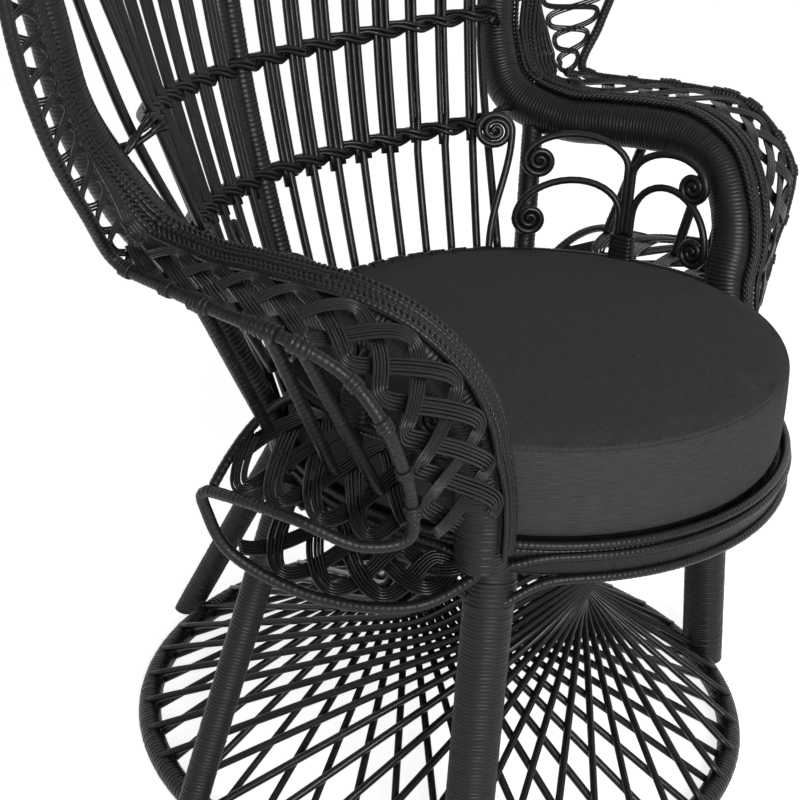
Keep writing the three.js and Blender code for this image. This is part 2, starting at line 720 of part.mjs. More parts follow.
// Stakes of one side: single rods up to the first weave, bundles of rods above it.
const stakeShares = Array.from({ length: stakesPerSide }, (_, k) => (k + 1) / (stakesPerSide + 1));
const lowRail = hoopHeight - hoopDiameter / 2 - 30;
const stakeRows = [
  () => bandBottom + 6,
  () => lowRail,
  () => lowRail + railHeight,
  () => hoopHeight,
  (share) => weaveLevel(0, share) - weaveHeight / 2,
  (share) => weaveLevel(0, share) + weaveHeight / 2,
  (share) => weaveLevel(1, share),
  (share) => weaveLevel(2, share),
  (share) => Math.min(weaveLevel(3, share), mix(weaveLevel(2, share), fanTop(share), 0.8)),
  (share) => fanTop(share),
];
const stakePlace = (i, j, layer) => {
  const share = stakeShares[Math.floor(i / 2)];
  const width = j < 5 ? stakeWidth : bundleWidth;
  const height = stakeRows[j](share);
  const here = fanPoint(share, height, (layer - 0.5) * stakeThickness);
  const along = fanPoint(share + 0.01, height, 0).sub(fanPoint(share - 0.01, height, 0)).setZ(0).normalize();
  return here.addScaledVector(along, (i % 2 === 0 ? -1 : 1) * width / 2);
};
const stakes = comb(2 * stakesPerSide - 1, stakeRows.length - 1, (i, j) => i % 2 === 0 || j === 1, stakePlace);
addPair('back_stakes', cut(stakes, rollsGrown, bandGrown, hoopGrown, postGrown), rattan);

// Spine: a wound post up the middle of the back, behind the weaves.
const spineBehind = (postDiameter - stakeThickness) / 2 + weaveGap;
const spine = smooth([
  fanPoint(0, bandTop, spineBehind),
  fanPoint(0, hoopHeight, spineBehind),
  ...weaveLevels.map((_, k) => fanPoint(0, weaveLevel(k, 0), spineBehind)),
  fanPoint(0, fanTop(0), spineBehind),
]);
const spineSolid = tube(new Route((t) => spine.getPointAt(t)), postDiameter, 8, 12);
addPiece('back_spine', cut(spineSolid, backRollGrown, bandGrown, hoopGrown, backLegGrown), rattan);

// Weaves across the front of the stakes. The last column at each end runs on into the roll.
const weaveColumns = 20;
weaveLevels.forEach((level, k) => {
  const reach = k === 0 ? 0.94 : 0.98;
  const front = -(stakeThickness / 2 + weaveGap + weaveThickness / 2);
  const ends = [-1, 1].map((side) => {
    const last = fanPoint(side * reach, weaveLevel(k, reach), front);
    return roll.getPointAt(shareAt(roll, last));
  });
  const surface = (u, v) => {
    const share = reach * Math.max(-1, Math.min(1, mix(-1, 1, u) / (1 - 2 / weaveColumns)));
    const offset = (v - 0.5) * weaveHeight;
    if (u > 0 && u < 1) return fanPoint(share, weaveLevel(k, share) + offset, front);
    const end = ends[u];
    return new THREE.Vector3(end.x, end.y, end.z + offset);
  };
  addPiece(`back_weave_${k + 1}`, cut(sheet(surface, weaveColumns, 1, weaveThickness, 0), rollsGrown), rattan);
});

// Scrolled rods.
const turnSteps = 10;

// One rod: up from the tie, over in an arch, and round and in to its eye.
function scrollRoute(stem, foot, eye, archHeight, angle, lean) {
  const facing = Math.sign(eye.along - stem);
  const far = eye.along + facing * scrollRadius;
  const base = Math.max(eye.up, foot + stemRise);
  const [stemSteps, archSteps, coilSteps] = [1, 7, Math.round(scrollTurns * turnSteps)];
  const points = [];
  for (let i = 0; i < stemSteps; i += 1) points.push([stem, mix(foot, base, i / stemSteps)]);
  for (let i = 0; i < archSteps; i += 1) {
    const turn = (i / archSteps) * Math.PI;
    const share = (1 - Math.cos(turn)) / 2;
    points.push([mix(stem, far, share), mix(base, eye.up, share) + archHeight * Math.sin(turn)]);
  }
  for (let i = 0; i <= coilSteps; i += 1) {
    const turn = (i / turnSteps) * 2 * Math.PI;
    const radius = scrollRadius - scrollPitch * (i / turnSteps);
    points.push([eye.along + facing * radius * Math.cos(turn), eye.up - radius * Math.sin(turn)]);
  }
  const coil = points.slice(-coilSteps - 1);
  let gap = Infinity;
  for (let i = 0; i < coil.length; i += 1) {
    for (let j = i + turnSteps / 2 + 1; j < coil.length; j += 1) {
      gap = Math.min(gap, Math.hypot(coil[i][0] - coil[j][0], coil[i][1] - coil[j][1]) - scrollRod);
    }
  }
  const last = points.length - 1;
  const curve = new Route((t) => {
    const at = Math.min(Math.floor(t * last), last - 1);
    const part = t * last - at;
    const [along, up] = [0, 1].map((k) => mix(points[at][k], points[at + 1][k], part));
    return onWall(along, up, angle, lean);
  });
  return { curve, steps: last, gap };
}

const scrollFoot = tieTop + clearance;
const armScroll = (stem, along, up, archHeight) => (
  scrollRoute(stem, scrollFoot, { along, up: seatHeight + up }, archHeight, tieAngle, 0)
);
const backScrollEye = { along: 0, up: seatHeight + backScrollUp };
const backScrollFoot = hoopHeight;
const scrollPairs = {
  scroll_rear: [armScroll(3, 100, 189, 36), armScroll(7, 107, 122, 40)],
  scroll_front: [armScroll(-3, -74, 182, 30), armScroll(-7, -84, 112, 50)],
  back_scroll: [
    scrollRoute(-scrollRadius, backScrollFoot, backScrollEye, scrollRadius, backScrollAngle, backScrollLean),
  ],
};
let leastGap = Infinity;
for (const [name, routes] of Object.entries(scrollPairs)) {
  const solids = routes.map(({ curve, steps }) => tube(curve, scrollRod, 4, steps));
  addPair(name, cut(join(...solids), armRollGrown, postGrown, hoopGrown), rattan);
  leastGap = Math.min(leastGap, ...routes.map(({ gap }) => gap));
}
console.log(`least gap between turns of a scroll: ${leastGap.toFixed(2)} mm`);

// Cushion: a crowned round pad whose side is drawn in at its two seams.
const cushionProfile = [
  [0, 0],
  [seatX - 3 * cushionSideTuck, 0],
  [seatX - cushionSideTuck, cushionSideTuck],
  [seatX - cushionSideTuck / 4, cushionThickness * 0.3],
  [seatX, cushionThickness * 0.5],
  [seatX - cushionSideTuck / 4, cushionThickness * 0.75],
  [seatX - cushionSideTuck, cushionThickness - cushionSideTuck],
  [seatX - 3 * cushionSideTuck, cushionThickness],
  [seatX * 0.55, cushionThickness + cushionCrown * 0.75],
  [0, cushionThickness + cushionCrown],
].map(([radius, up]) => new THREE.Vector2(radius, up));
const cushion = new THREE.LatheGeometry(cushionProfile, 40)
  .rotateX(Math.PI / 2)
  .scale(1, seatY / seatX, 1)
  .translate(0, 0, seatHeight + clearance);
addPiece('cushion', solidOf(cushion), canvas);

// The chair stands with the middle of its plan over the origin.
const plan = new THREE.Box3().setFromObject(chair);
chair.position.y = -(plan.min.y + plan.max.y) / 2;

export default chair;
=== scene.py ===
import math

import bmesh
import bpy
import numpy as np
from mathutils import Matrix, Vector


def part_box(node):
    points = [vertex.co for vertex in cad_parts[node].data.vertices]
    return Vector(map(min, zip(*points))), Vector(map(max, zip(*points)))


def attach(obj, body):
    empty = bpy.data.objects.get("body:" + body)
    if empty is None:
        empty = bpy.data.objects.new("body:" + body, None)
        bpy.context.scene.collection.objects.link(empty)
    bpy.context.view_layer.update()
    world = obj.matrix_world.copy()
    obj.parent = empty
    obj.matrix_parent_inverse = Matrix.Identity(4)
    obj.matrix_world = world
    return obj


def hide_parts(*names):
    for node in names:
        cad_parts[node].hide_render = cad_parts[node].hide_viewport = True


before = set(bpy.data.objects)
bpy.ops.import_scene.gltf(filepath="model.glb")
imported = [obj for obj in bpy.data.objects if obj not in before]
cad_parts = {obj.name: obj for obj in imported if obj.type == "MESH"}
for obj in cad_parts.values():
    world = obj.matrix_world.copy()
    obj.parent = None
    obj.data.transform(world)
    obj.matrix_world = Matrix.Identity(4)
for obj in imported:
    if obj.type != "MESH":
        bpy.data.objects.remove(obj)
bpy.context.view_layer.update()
dice = np.random.default_rng(4)
scene = bpy.context.scene
scene.view_settings.view_transform = "Standard"
print("frame:", len(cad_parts), "CAD nodes")

photoCamera = {
    "place": (-1.479, -0.8655, 1.167),
    "back": (-0.7716, -0.4785, 0.4190),
    "right": (0.5270, -0.8498, 0.0),
    "roll": 2.47,
    "lens": 81.195,
}


def added(name, data):
    thing = bpy.data.objects.new(name, data)
    scene.collection.objects.link(thing)
    return thing


def makeCamera():
    back = Vector(photoCamera["back"]).normalized()
    right = Vector(photoCamera["right"]).normalized()
    up = back.cross(right)
    roll = math.radians(photoCamera["roll"])
    across = right * math.cos(roll) + up * math.sin(roll)
    upright = up * math.cos(roll) - right * math.sin(roll)
    data = bpy.data.cameras.new("photoCamera")
    data.lens = photoCamera["lens"]
    data.sensor_width = 36
    camera = added("photoCamera", data)
    turn = Matrix((across, upright, back)).transposed().to_4x4()
    camera.matrix_world = Matrix.Translation(photoCamera["place"]) @ turn
    scene.camera = camera


makeCamera()

# routes are in millimetres from the middle of the seat, with heights from the floor
cushionLow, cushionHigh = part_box("cushion")
seatMiddle = np.array(((cushionLow.x + cushionHigh.x) / 2, (cushionLow.y + cushionHigh.y) / 2, 0.0))
seat = {"halfWidth": 252.0, "halfDepth": 240.0, "deck": 388.0}
bandWay = {"low": 356, "high": 384, "outer": 12, "thickness": 14, "corner": 4, "pitch": 5.0, "groove": 0.035}
bandMiddle = (bandWay["low"] + bandWay["high"]) / 2
hoopWay = {"offset": 15.5, "height": 470.0, "end": -21, "radius": 7.0, "pitch": 5.0, "groove": 0.07}


def toFrame(points):
    return np.asarray(points) / 1000 + seatMiddle


def fromSeat(out, back, up):
    return np.array((seat["halfWidth"] + out, back, seat["deck"] + up), float)


def besideSeat(offset, angle, height):
    turn = np.radians(angle)
    x = (seat["halfWidth"] + offset) * np.cos(turn)
    y = (seat["halfDepth"] + offset) * np.sin(turn)
    return np.stack(np.broadcast_arrays(x, y, np.asarray(height, float)), -1)


def flipped(points):
    return np.asarray(points) * (-1, 1, 1)


def unit(vectors):
    return vectors / np.maximum(np.linalg.norm(vectors, axis=-1, keepdims=True), 1e-9)


def eased(points, fine=24):
    # centripetal curve through the points, as in the CAD
    ends = np.vstack((2 * points[0] - points[1], points, 2 * points[-1] - points[-2]))
    t = np.linspace(0, 1, fine, endpoint=False)[:, None]
    line = []
    for a, b, c, d in zip(ends, ends[1:], ends[2:], ends[3:]):
        ab, bc, cd = (max(np.linalg.norm(q - p) ** 0.5, 1e-4) for p, q in ((a, b), (b, c), (c, d)))
        leave = ((b - a) / ab - (c - a) / (ab + bc) + (c - b) / bc) * bc
        reach = ((c - b) / bc - (d - b) / (bc + cd) + (d - c) / cd) * bc
        bend = (2 * b - 2 * c + leave + reach) * t ** 3
        line.append(b + leave * t + (3 * c - 3 * b - 2 * leave - reach) * t ** 2 + bend)
    return np.vstack(line + [points[-1:]])


class Route:
    def __init__(self, points):
        self.line = np.asarray(points, float)
        steps = np.linalg.norm(np.diff(self.line, axis=0), axis=1)
        self.far = np.concatenate(((0,), np.cumsum(steps)))
        self.length = self.far[-1]

    def at(self, share):
        far = np.clip(share, 0, 1) * self.length
        return np.stack([np.interp(far, self.far, self.line[:, k]) for k in range(3)], -1)

    def near(self, point):
        return self.far[np.argmin(np.linalg.norm(self.line - point, axis=1))] / self.length

    def part(self, start, end, fine=600):
        return Route(self.at(np.linspace(start, end, fine)))


def curve(points):
    return Route(eased(np.asarray(points, float)))


def fromEnds(share, rows):
    return np.interp(np.minimum(share, 1 - share), *zip(*rows))


facingWay = {"fine": 400, "blur": 15, "join": 0.012}


class Facing:
    # the places on a second route that lie nearest to those on a first, or lead them by some way
    def __init__(self, first, second, lead):
        self.route, self.grid = second, np.linspace(0, 1, facingWay["fine"])
        near = np.maximum.accumulate([second.near(p) for p in first.at(self.grid)])
        window = 2 * facingWay["blur"] + 1
        near = np.convolve(np.pad(near, facingWay["blur"], mode="edge"), np.ones(window) / window, "valid")
        part = np.clip(np.minimum(self.grid, 1 - self.grid) / facingWay["join"], 0, 1)
        ahead = fromEnds(self.grid, lead) * np.sign(0.5 - self.grid)
        self.share = self.grid + (near - self.grid) * part + ahead / second.length

    def at(self, share):
        return self.route.at(np.interp(share, self.grid, self.share))


def feed(tree, node, inputs):
    # sockets are linked, plain values are set
    for name, value in inputs.items():
        if isinstance(value, bpy.types.NodeSocket):
            tree.links.new(value, node.inputs[name])
        else:
            node.inputs[name].default_value = value


def nodeOn(tree, kind, inputs, **settings):
    node = tree.nodes.new("ShaderNode" + kind)
    for name, value in settings.items():
        setattr(node, name, value)
    feed(tree, node, inputs)
    return node


def shaderOf(name, colour, rough, specular):
    material = bpy.data.materials.new(name)
    material.use_nodes = True
    tree = material.node_tree
    shader = tree.nodes["Principled BSDF"]
    feed(tree, shader, {"Base Color": (*colour, 1), "Roughness": rough, "Specular IOR Level": specular})
    material.diffuse_color = (*colour, 1)
    return material, tree, shader


def noiseOn(tree, source, scale, size, detail):
    place = nodeOn(tree, "Mapping", {"Vector": source, "Scale": scale})
    noise = nodeOn(tree, "TexNoise", {"Vector": place.outputs["Vector"], "Scale": size, "Detail": detail})
    return noise.outputs["Fac"]


def rampOn(tree, source, stops):
    ramp = nodeOn(tree, "ValToRGB", {"Fac": source})
    first, last = ramp.color_ramp.elements
    first.position, first.color = stops[0][0], (*stops[0][1], 1)
    last.position, last.color = stops[-1][0], (*stops[-1][1], 1)
    for place, colour in stops[1:-1]:
        ramp.color_ramp.elements.new(place).color = (*colour, 1)
    return ramp.outputs["Color"]


def rangeOn(tree, source, low, high):
    ends = {"From Min": 0.3, "From Max": 0.7, "To Min": low, "To Max": high}
    return nodeOn(tree, "MapRange", {"Value": source, **ends}).outputs["Result"]


def mixOn(tree, first, second, share):
    mixed = nodeOn(tree, "Mix", {"Factor": share, "A": first, "B": second}, data_type="FLOAT")
    return mixed.outputs["Result"]


def mathOn(tree, operation, *sources):
    return nodeOn(tree, "Math", dict(enumerate(sources)), operation=operation).outputs[0]


bumpDepth = 0.0006


def bumpOn(tree, source, strength):
    bump = nodeOn(tree, "Bump", {"Strength": strength, "Distance": bumpDepth, "Height": source})
    return bump.outputs["Normal"]


rattanLook = {
    "strand": {"dark": (0.0040, 0.0039, 0.0039), "worn": (0.0135, 0.012, 0.011), "rough": (0.23, 0.38),
               "fibre": 0.3, "grain": (60, 14, 1)},
    "wound": {"dark": (0.0038, 0.0037, 0.0037), "worn": (0.013, 0.0115, 0.0105), "rough": (0.27, 0.44),
              "fibre": 0.4, "grain": (900, 5, 1)},
    "leg": {"dark": (0.0044, 0.0038, 0.0036), "worn": (0.0145, 0.0118, 0.0103), "rough": (0.36, 0.54),
            "fibre": 0.4, "grain": (500, 5, 1)},
}
lacquer = {"rough": 0.45, "specular": 0.2, "toneSize": 46, "fleckSize": 330, "fleckShare": 0.45,
           "fibreShare": 0.4, "wornShare": 0.35, "stops": (0.36, 0.56, 0.72)}


def makeRattan(name, look):
    # lacquered cane: fibres on the strand's own UV, tone and wear by place
    material, tree, shader = shaderOf(name, look["dark"], lacquer["rough"], lacquer["specular"])
    spot = nodeOn(tree, "TexCoord", {}).outputs
    fibre = noiseOn(tree, spot["UV"], look["grain"], 1.0, 3)
    tone = noiseOn(tree, spot["Object"], (1, 1, 1), lacquer["toneSize"], 4)
    fleck = noiseOn(tree, spot["Object"], (1, 1, 1), lacquer["fleckSize"], 2)
    mixed = mixOn(tree, tone, fleck, lacquer["fleckShare"])
    streaked = mixOn(tree, mixed, fibre, lacquer["fibreShare"])
    share = lacquer["wornShare"]
    middle = tuple((1 - share) * a + share * b for a, b in zip(look["dark"], look["worn"]))
    stops = tuple(zip(lacquer["stops"], (look["dark"], middle, look["worn"])))
    feed(tree, shader, {"Base Color": rampOn(tree, streaked, stops),
                        "Roughness": rangeOn(tree, mixed, *look["rough"]),
                        "Normal": bumpOn(tree, fibre, look["fibre"])})
    return material


caneStrand = makeRattan("caneStrand", rattanLook["strand"])
woundCane = makeRattan("woundCane", rattanLook["wound"])
woundLeg = makeRattan("woundLeg", rattanLook["leg"])
print("rattan finishes ready")


def paint(piece, finish):
    piece.data.materials.clear()
    piece.data.materials.append(finish)


def dress(piece, finish, nodes, body="frame"):
    paint(piece, finish)
    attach(piece, body)
    if nodes:
        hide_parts(*nodes)
    return piece


def strandPiece(name, strands, sides=8, closed=False, profile=None):
    line = bpy.data.curves.new(name + "Line", "CURVE")
    line.dimensions = "3D"
    line.use_fill_caps = not closed
    if profile:
        line.bevel_mode = "OBJECT"
        line.bevel_object = profile
        line.twist_mode = "Z_UP"
    else:
        line.bevel_depth = 0.001
        line.bevel_resolution = (sides - 4) // 2
    for points, radii in strands:
        spline = line.splines.new("POLY")
        spline.points.add(len(points) - 1)
        spline.use_cyclic_u = closed
        placed = np.ones((len(points), 4))
        placed[:, :3] = toFrame(points)
        spline.points.foreach_set("co", placed.ravel())
        spline.points.foreach_set("radius", np.broadcast_to(np.asarray(radii, float), len(points)).copy())
    drawn = added(name + "Line", line)
    mesh = bpy.data.meshes.new_from_object(drawn.evaluated_get(bpy.context.evaluated_depsgraph_get()))
    bpy.data.objects.remove(drawn)
    bpy.data.curves.remove(line)
    work = bmesh.new()
    work.from_mesh(mesh)
    bmesh.ops.remove_doubles(work, verts=work.verts, dist=2e-6)
    bmesh.ops.recalc_face_normals(work, faces=work.faces)
    for face in work.faces:
        face.smooth = True
    work.to_mesh(mesh)
    work.free()
    return added(name, mesh)


def pairOf(name, strands, finish, nodes, sides):
    left = strandPiece(name + "Left", strands, sides)
    dress(left, finish, [n + "_left" for n in nodes])
    right = strandPiece(name + "Right", [(flipped(p), r) for p, r in strands], sides)
    dress(right, finish, [n + "_right" for n in nodes])
    return [left, right]


def wound(route, plan, radius=None, closed=False):
    # four rings to a turn of the peel, drawn in where two turns meet
    groove = plan["groove"]
    turns = max(3, round(route.length / plan["pitch"]))
    starts = np.arange(turns) + dice.uniform(-0.07, 0.07, turns)
    starts[0] = 0
    stops = (starts[:, None] + np.array((0, 0.14, 0.5, 0.86))).ravel() / turns
    swell = np.tile((1 - groove, 1 - 0.15 * groove, 1, 1 - 0.15 * groove), turns)
    swell *= np.repeat(1 + dice.normal(0, 0.12 * groove, turns), 4)
    if not closed:
        stops = np.append(stops, 1)
        swell = np.append(swell, 1 - groove)
    radius = np.atleast_1d(plan["radius"] if radius is None else radius)
    return route.at(stops), np.interp(stops, np.linspace(0, 1, len(radius)), radius) * swell


def even(route, gap):
    return route.at(np.linspace(0, 1, max(4, round(route.length / gap))))


def bandBetween(first, second, fromFirst, fromSecond):
    def surface(u, v):
        a, b = first.at(u), second.at(u)
        width = np.linalg.norm(b - a, axis=-1)
        share = (fromFirst + (width - fromFirst - fromSecond) * v) / width
        return a + (b - a) * share[..., None]
    return surface


def normalOn(surface, u, v):
    ahead = surface(np.minimum(u + 1e-3, 1), v) - surface(np.maximum(u - 1e-3, 0), v)
    aside = surface(u, np.minimum(v + 1e-2, 1)) - surface(u, np.maximum(v - 1e-2, 0))
    return unit(np.cross(ahead, aside))


def plait(surface, plan):
    # ribbons of side-by-side strands that swing from edge to edge, over and under each other
    fine = np.linspace(0, 1, 500)
    middle = Route(surface(fine, np.full(500, 0.5)))
    turns = middle.length / plan["period"]
    theta = np.linspace(-1.0, 2 * np.pi * turns + 1.0, int((turns + 0.4) * plan["steps"]))
    strands = []
    for ribbon in range(plan["ribbons"]):
        phase = theta + 2 * np.pi * ribbon / plan["ribbons"]
        along = (theta / (2 * np.pi) + plan["bend"] * np.sin(2 * phase)) / turns
        inside = (along >= 0) & (along <= 1)
        keep = slice(np.argmax(inside), len(inside) - np.argmax(inside[::-1]))
        u, phase = np.interp(along[keep], middle.far / middle.length, fine), phase[keep]
        width = np.linalg.norm(surface(u, np.ones_like(u)) - surface(u, np.zeros_like(u)), axis=1)
        reach = np.tanh(plan["square"] * np.sin(phase)) / math.tanh(plan["square"])
        v = 0.5 + np.maximum(0.5 - plan["margin"] / width, 0.12) * reach
        out = normalOn(surface, u, v)
        swing = np.sin(2 * phase) if plan["ribbons"] == 3 else -np.cos(phase)
        spine = surface(u, v) + out * (plan["lift"] * swing)[:, None]
        across = unit(np.cross(out, unit(np.gradient(spine, axis=0))))
        for k in range(plan["strands"]):
            off = (k - (plan["strands"] - 1) / 2) * plan["gauge"] + dice.normal(0, 0.05) * plan["gauge"]
            strands.append((spine + across * off, plan["gauge"] * (0.5 + dice.normal(0, 0.015))))
    return strands


# the roll round arms and back, and the rim that frames the flare
archWay = {"halfWidth": 412, "shoulder": 592, "rise": 304, "depth": 308, "lean": 0.35, "turns": (0, 22, 44, 66)}
rimWay = {"halfWidth": 542, "rise": 511, "forward": 120}


def backPlane(up):
    return archWay["depth"] + archWay["lean"] * (up - archWay["shoulder"])


def archPoint(turn, halfWidth=archWay["halfWidth"], rise=archWay["rise"], forward=0):
    up = archWay["shoulder"] + rise * np.sin(np.radians(turn))
    return np.stack((halfWidth * np.cos(np.radians(turn)), backPlane(up) - forward, seat["deck"] + up), -1)


def rimPoint(turn):
    return archPoint(turn, **rimWay)


def bothSides(points, top):
    return curve(list(points) + [top] + [flipped(p) for p in reversed(points)])


waist = fromSeat(65, 224, 236)
rollPoints = [fromSeat(*p) for p in (
    (8, -92, -16), (9, -92, 44), (14, -85, 92), (27, -83, 131), (45, -68, 171), (64, -40, 204), (75, 4, 221),
    (75, 50, 222), (70, 100, 219), (65, 156, 216))] + [waist]
rollPoints += [fromSeat(*p) for p in ((86, 258, 288), (114, 271, 345), (139, 279, 440))]
rollPoints += [archPoint(t) for t in archWay["turns"]]
roll = bothSides(rollPoints, archPoint(90))

rimTip = fromSeat(154, 96, 58)
rimFrontPoint = fromSeat(122, -86, 58)
rimCorner = fromSeat(164, 184, 248)
rimPoints = [rimTip] + [fromSeat(*p) for p in ((163, 50, 66), (166, -4, 68), (145, -56, 51))]
rimPoints += [rimFrontPoint] + [fromSeat(*p) for p in (
    (128, -90, 100), (150, -92, 142), (168, -86, 180), (177, -58, 214), (192, -12, 238), (190, 49, 243),
    (172, 127, 242))] + [rimCorner]
rimPoints += [fromSeat(*p) for p in ((197, 183, 295), (242, 179, 365), (274, 180, 450))]
rimPoints += [rimPoint(t) for t in archWay["turns"]]
rim = bothSides(rimPoints, rimPoint(90))

rollWaist, rimWaist, rimFront = roll.near(waist), rim.near(rimCorner), rim.near(rimFrontPoint)
cordStart = rollWaist * 0.12
armRoll = roll.part(0, rollWaist)
armRollRun = roll.part(cordStart, rollWaist)
armRim = rim.part(0, rimWaist)
armRimRun = rim.part(rimFront, rimWaist)
backRoll = roll.part(rollWaist, 1 - rollWaist, 2400)
backRim = rim.part(rimWaist, 1 - rimWaist, 2400)

rollWinding = {"radius": 25.0, "pitch": 4.0, "groove": 0.02}
rimWinding = {"radius": 5.6, "pitch": 5.6, "groove": 0.06}


def makeRolls():
    pairOf("woundArmRoll", [wound(armRoll, rollWinding)], woundCane, ["arm_roll"], 24)


def makeRims():
    pairOf("woundArmRim", [wound(armRim, rimWinding)], woundCane, ["arm_rim"], 10)
    dress(strandPiece("woundBackRim", [wound(backRim, rimWinding)], 10), woundCane, ["back_rim"])


makeRolls()
makeRims()
print("roll and rim wound")

# the cords: on the roll along the arms, beside it on the back
# rows of arm and back: share of the run, then aside and face of the inner and the outer edge
# rows of slim, chain and lead: share of the run from an end of the back, then millimetres
cordWay = {
    "arm": ((0, -14, 27, 13, 30), (0.3, -9, 29, 25, 29), (0.55, 0, 30, 38, 20), (0.8, 2, 30, 40, 17),
            (1, 14, 27, 44, 12)),
    "back": ((0, 14, 27, 44, 12), (0.07, 17, 8, 44, 5), (0.16, 13, 1, 41, 0), (0.5, 13, 0, 41, 0)),
    "slim": ((0, 0), (0.02, 0.5), (0.08, 6.5)),
    "chain": ((0, 36), (0.02, 46), (0.06, 92), (0.12, 146), (0.2, 124)),
    "lead": ((0, 0), (0.02, 25), (0.04, 48), (0.06, 63), (0.08, 78), (0.1, 84), (0.14, 68), (0.18, 8)),
    "count": 5, "twisted": (0, 3), "lay": 11.0, "pitch": 5.0, "groove": 0.10,
}
thinRod = {"count": 4, "radius": 2.7, "thinnest": 0.5, "pitch": 8.0, "groove": 0.07}
rimEdge = 6.3


def besideRoll(first, second, u, aside, face):
    start = first.at(u)
    ahead = unit(first.at(np.minimum(u + 2e-3, 1)) - first.at(np.maximum(u - 2e-3, 0)))
    across = second.at(u) - start
    across = unit(across - ahead * (across * ahead).sum(-1, keepdims=True))
    out = np.cross(across, ahead)
    return start + across * aside[..., None] + out * face[..., None]


def cordEdges(run, u):
    rows = np.array(cordWay[run]).T
    share = np.minimum(u, 1 - u) if run == "back" else u
    return [np.interp(share, rows[0], row) for row in rows[1:]]


def slimmer(u):
    # the roll is slimmer up the back, on the side of the rim
    return fromEnds(u, cordWay["slim"])


def twistedPair(line, radius, lay):
    # two thin strands laid round each other
    route = Route(line)
    share = np.linspace(0, 1, int(route.length / lay * 6))
    middle = route.at(share)
    ahead = unit(np.gradient(middle, axis=0))
    side = unit(np.cross(ahead, (0.3, 0.5, 0.8)))
    over = np.cross(side, ahead)
    turn = (share * route.length / lay * 2 * np.pi)[:, None]
    reach = np.interp(share, np.linspace(0, 1, len(radius)), radius)
    ring = (side * np.cos(turn) + over * np.sin(turn)) * (reach * 0.48)[:, None]
    return [(middle + ring, reach * 0.6), (middle - ring, reach * 0.6)]


def cordsOf(run, first, second, fine):
    u = np.linspace(0, 1, fine)
    innerAside, innerFace, outerAside, outerFace = cordEdges(run, u)
    radius = np.hypot(outerAside - innerAside, outerFace - innerFace) / cordWay["count"] / 2
    slim = slimmer(u) if run == "back" else 0
    touching = rollWinding["radius"] - slim + radius - 0.4
    cords = []
    for k in range(cordWay["count"]):
        part = (k + 0.5) / cordWay["count"]
        aside = innerAside + (outerAside - innerAside) * part
        face = innerFace + (outerFace - innerFace) * part + dice.normal(0, 0.3)
        away = np.hypot(aside + slim, face)
        pull = np.where(away < touching + 3, touching / away, 1)
        line = besideRoll(first, second, u, (aside + slim) * pull - slim, face * pull)
        thick = radius
        if run == "arm":
            foot = roll.part(0.25 * cordStart, cordStart, 40).line
            line = np.vstack((foot[:-1] + (line[0] - foot[-1]), line))
            thick = np.concatenate((np.full(len(foot) - 1, radius[0]), radius))
        if k in cordWay["twisted"]:
            cords += twistedPair(line, thick, cordWay["lay"])
        else:
            cords.append(wound(Route(line), cordWay, thick))
    return cords


def besideCords(run, first, second, u):
    aside, face = cordEdges(run, u)[2:]
    return besideRoll(first, second, u, aside + 1, face)


def flareOf(run, first, second):
    def surface(u, v):
        start = besideCords(run, first, second, u)
        way = second.at(u) - start
        width = np.linalg.norm(way, axis=-1)
        free = 0
        if run == "back":
            free = np.maximum(width - rimEdge - fromEnds(u, cordWay["chain"]), 0)
        return start + way * ((free + v * (width - rimEdge - free)) / width)[..., None]
    return surface


def thinRods(first, second):
    # rods that fill the back between its cords and its chain
    u = np.linspace(0, 1, 900)
    start = besideCords("back", first, second, u)
    edge = flareOf("back", first, second)(u, np.zeros_like(u))
    gap = np.linalg.norm(edge - start, axis=1)
    radius = np.clip(gap / thinRod["count"] / 2, thinRod["thinnest"], thinRod["radius"])
    rods = []
    for k in range(thinRod["count"]):
        line = start + (edge - start) * ((k + 0.5) / thinRod["count"])
        rods.append(wound(Route(line), thinRod, radius))
    return rods


backFacing = Facing(backRoll, backRim, cordWay["lead"])


def makeBackRoll():
    u = np.linspace(0, 1, 1600)
    line = besideRoll(backRoll, backFacing, u, -slimmer(u), 0 * u)
    strands = [wound(Route(line), rollWinding, rollWinding["radius"] - slimmer(u))]
    dress(strandPiece("woundBackRoll", strands, 24), woundCane, ["back_roll"])


def makeBraids():
    pairOf("armCords", cordsOf("arm", armRollRun, armRimRun, 500), woundCane, ["arm_braid"], 8)
    cords = cordsOf("back", backRoll, backFacing, 1600)
    dress(strandPiece("backCords", cords, 6), woundCane, ["back_braid"])
    dress(strandPiece("backThinRods", thinRods(backRoll, backFacing), 6), woundCane, [])


makeBackRoll()
makeBraids()
print("cords beside the roll laid")

# plaited flares
armPlait = {"ribbons": 3, "strands": 5, "gauge": 3.2, "period": 132, "bend": 0.016, "square": 0.01,
            "margin": 9.0, "lift": 2.8, "steps": 64}
backPlait = {"ribbons": 2, "strands": 3, "gauge": 2.3, "period": 52, "bend": 0.0, "square": 1.6,
             "margin": 4.6, "lift": 1.8, "steps": 56}
underPlait = {"ribbons": 3, "strands": 5, "gauge": 3.3, "period": 118, "bend": 0.012, "square": 0.01,
              "margin": 8.5, "lift": 2.8, "steps": 60}
underWay = {"hoopTurn": (-10, 26), "hoopEdge": 7.1, "arch": 20, "flat": 0.35, "cells": 7}
lowerWay = {"bandTurn": (-14, 24), "bandEdge": 0.6, "end": -24, "run": (0.9, 0.22)}


def hoopArc(start, end, fine):
    return Route(besideSeat(hoopWay["offset"], np.linspace(start, end, fine), hoopWay["height"]))


underRimRun = rim.part(rimFront * 0.97, rimFront * 0.03)
flatUnder = bandBetween(hoopArc(*underWay["hoopTurn"], 80), underRimRun, underWay["hoopEdge"], rimEdge)


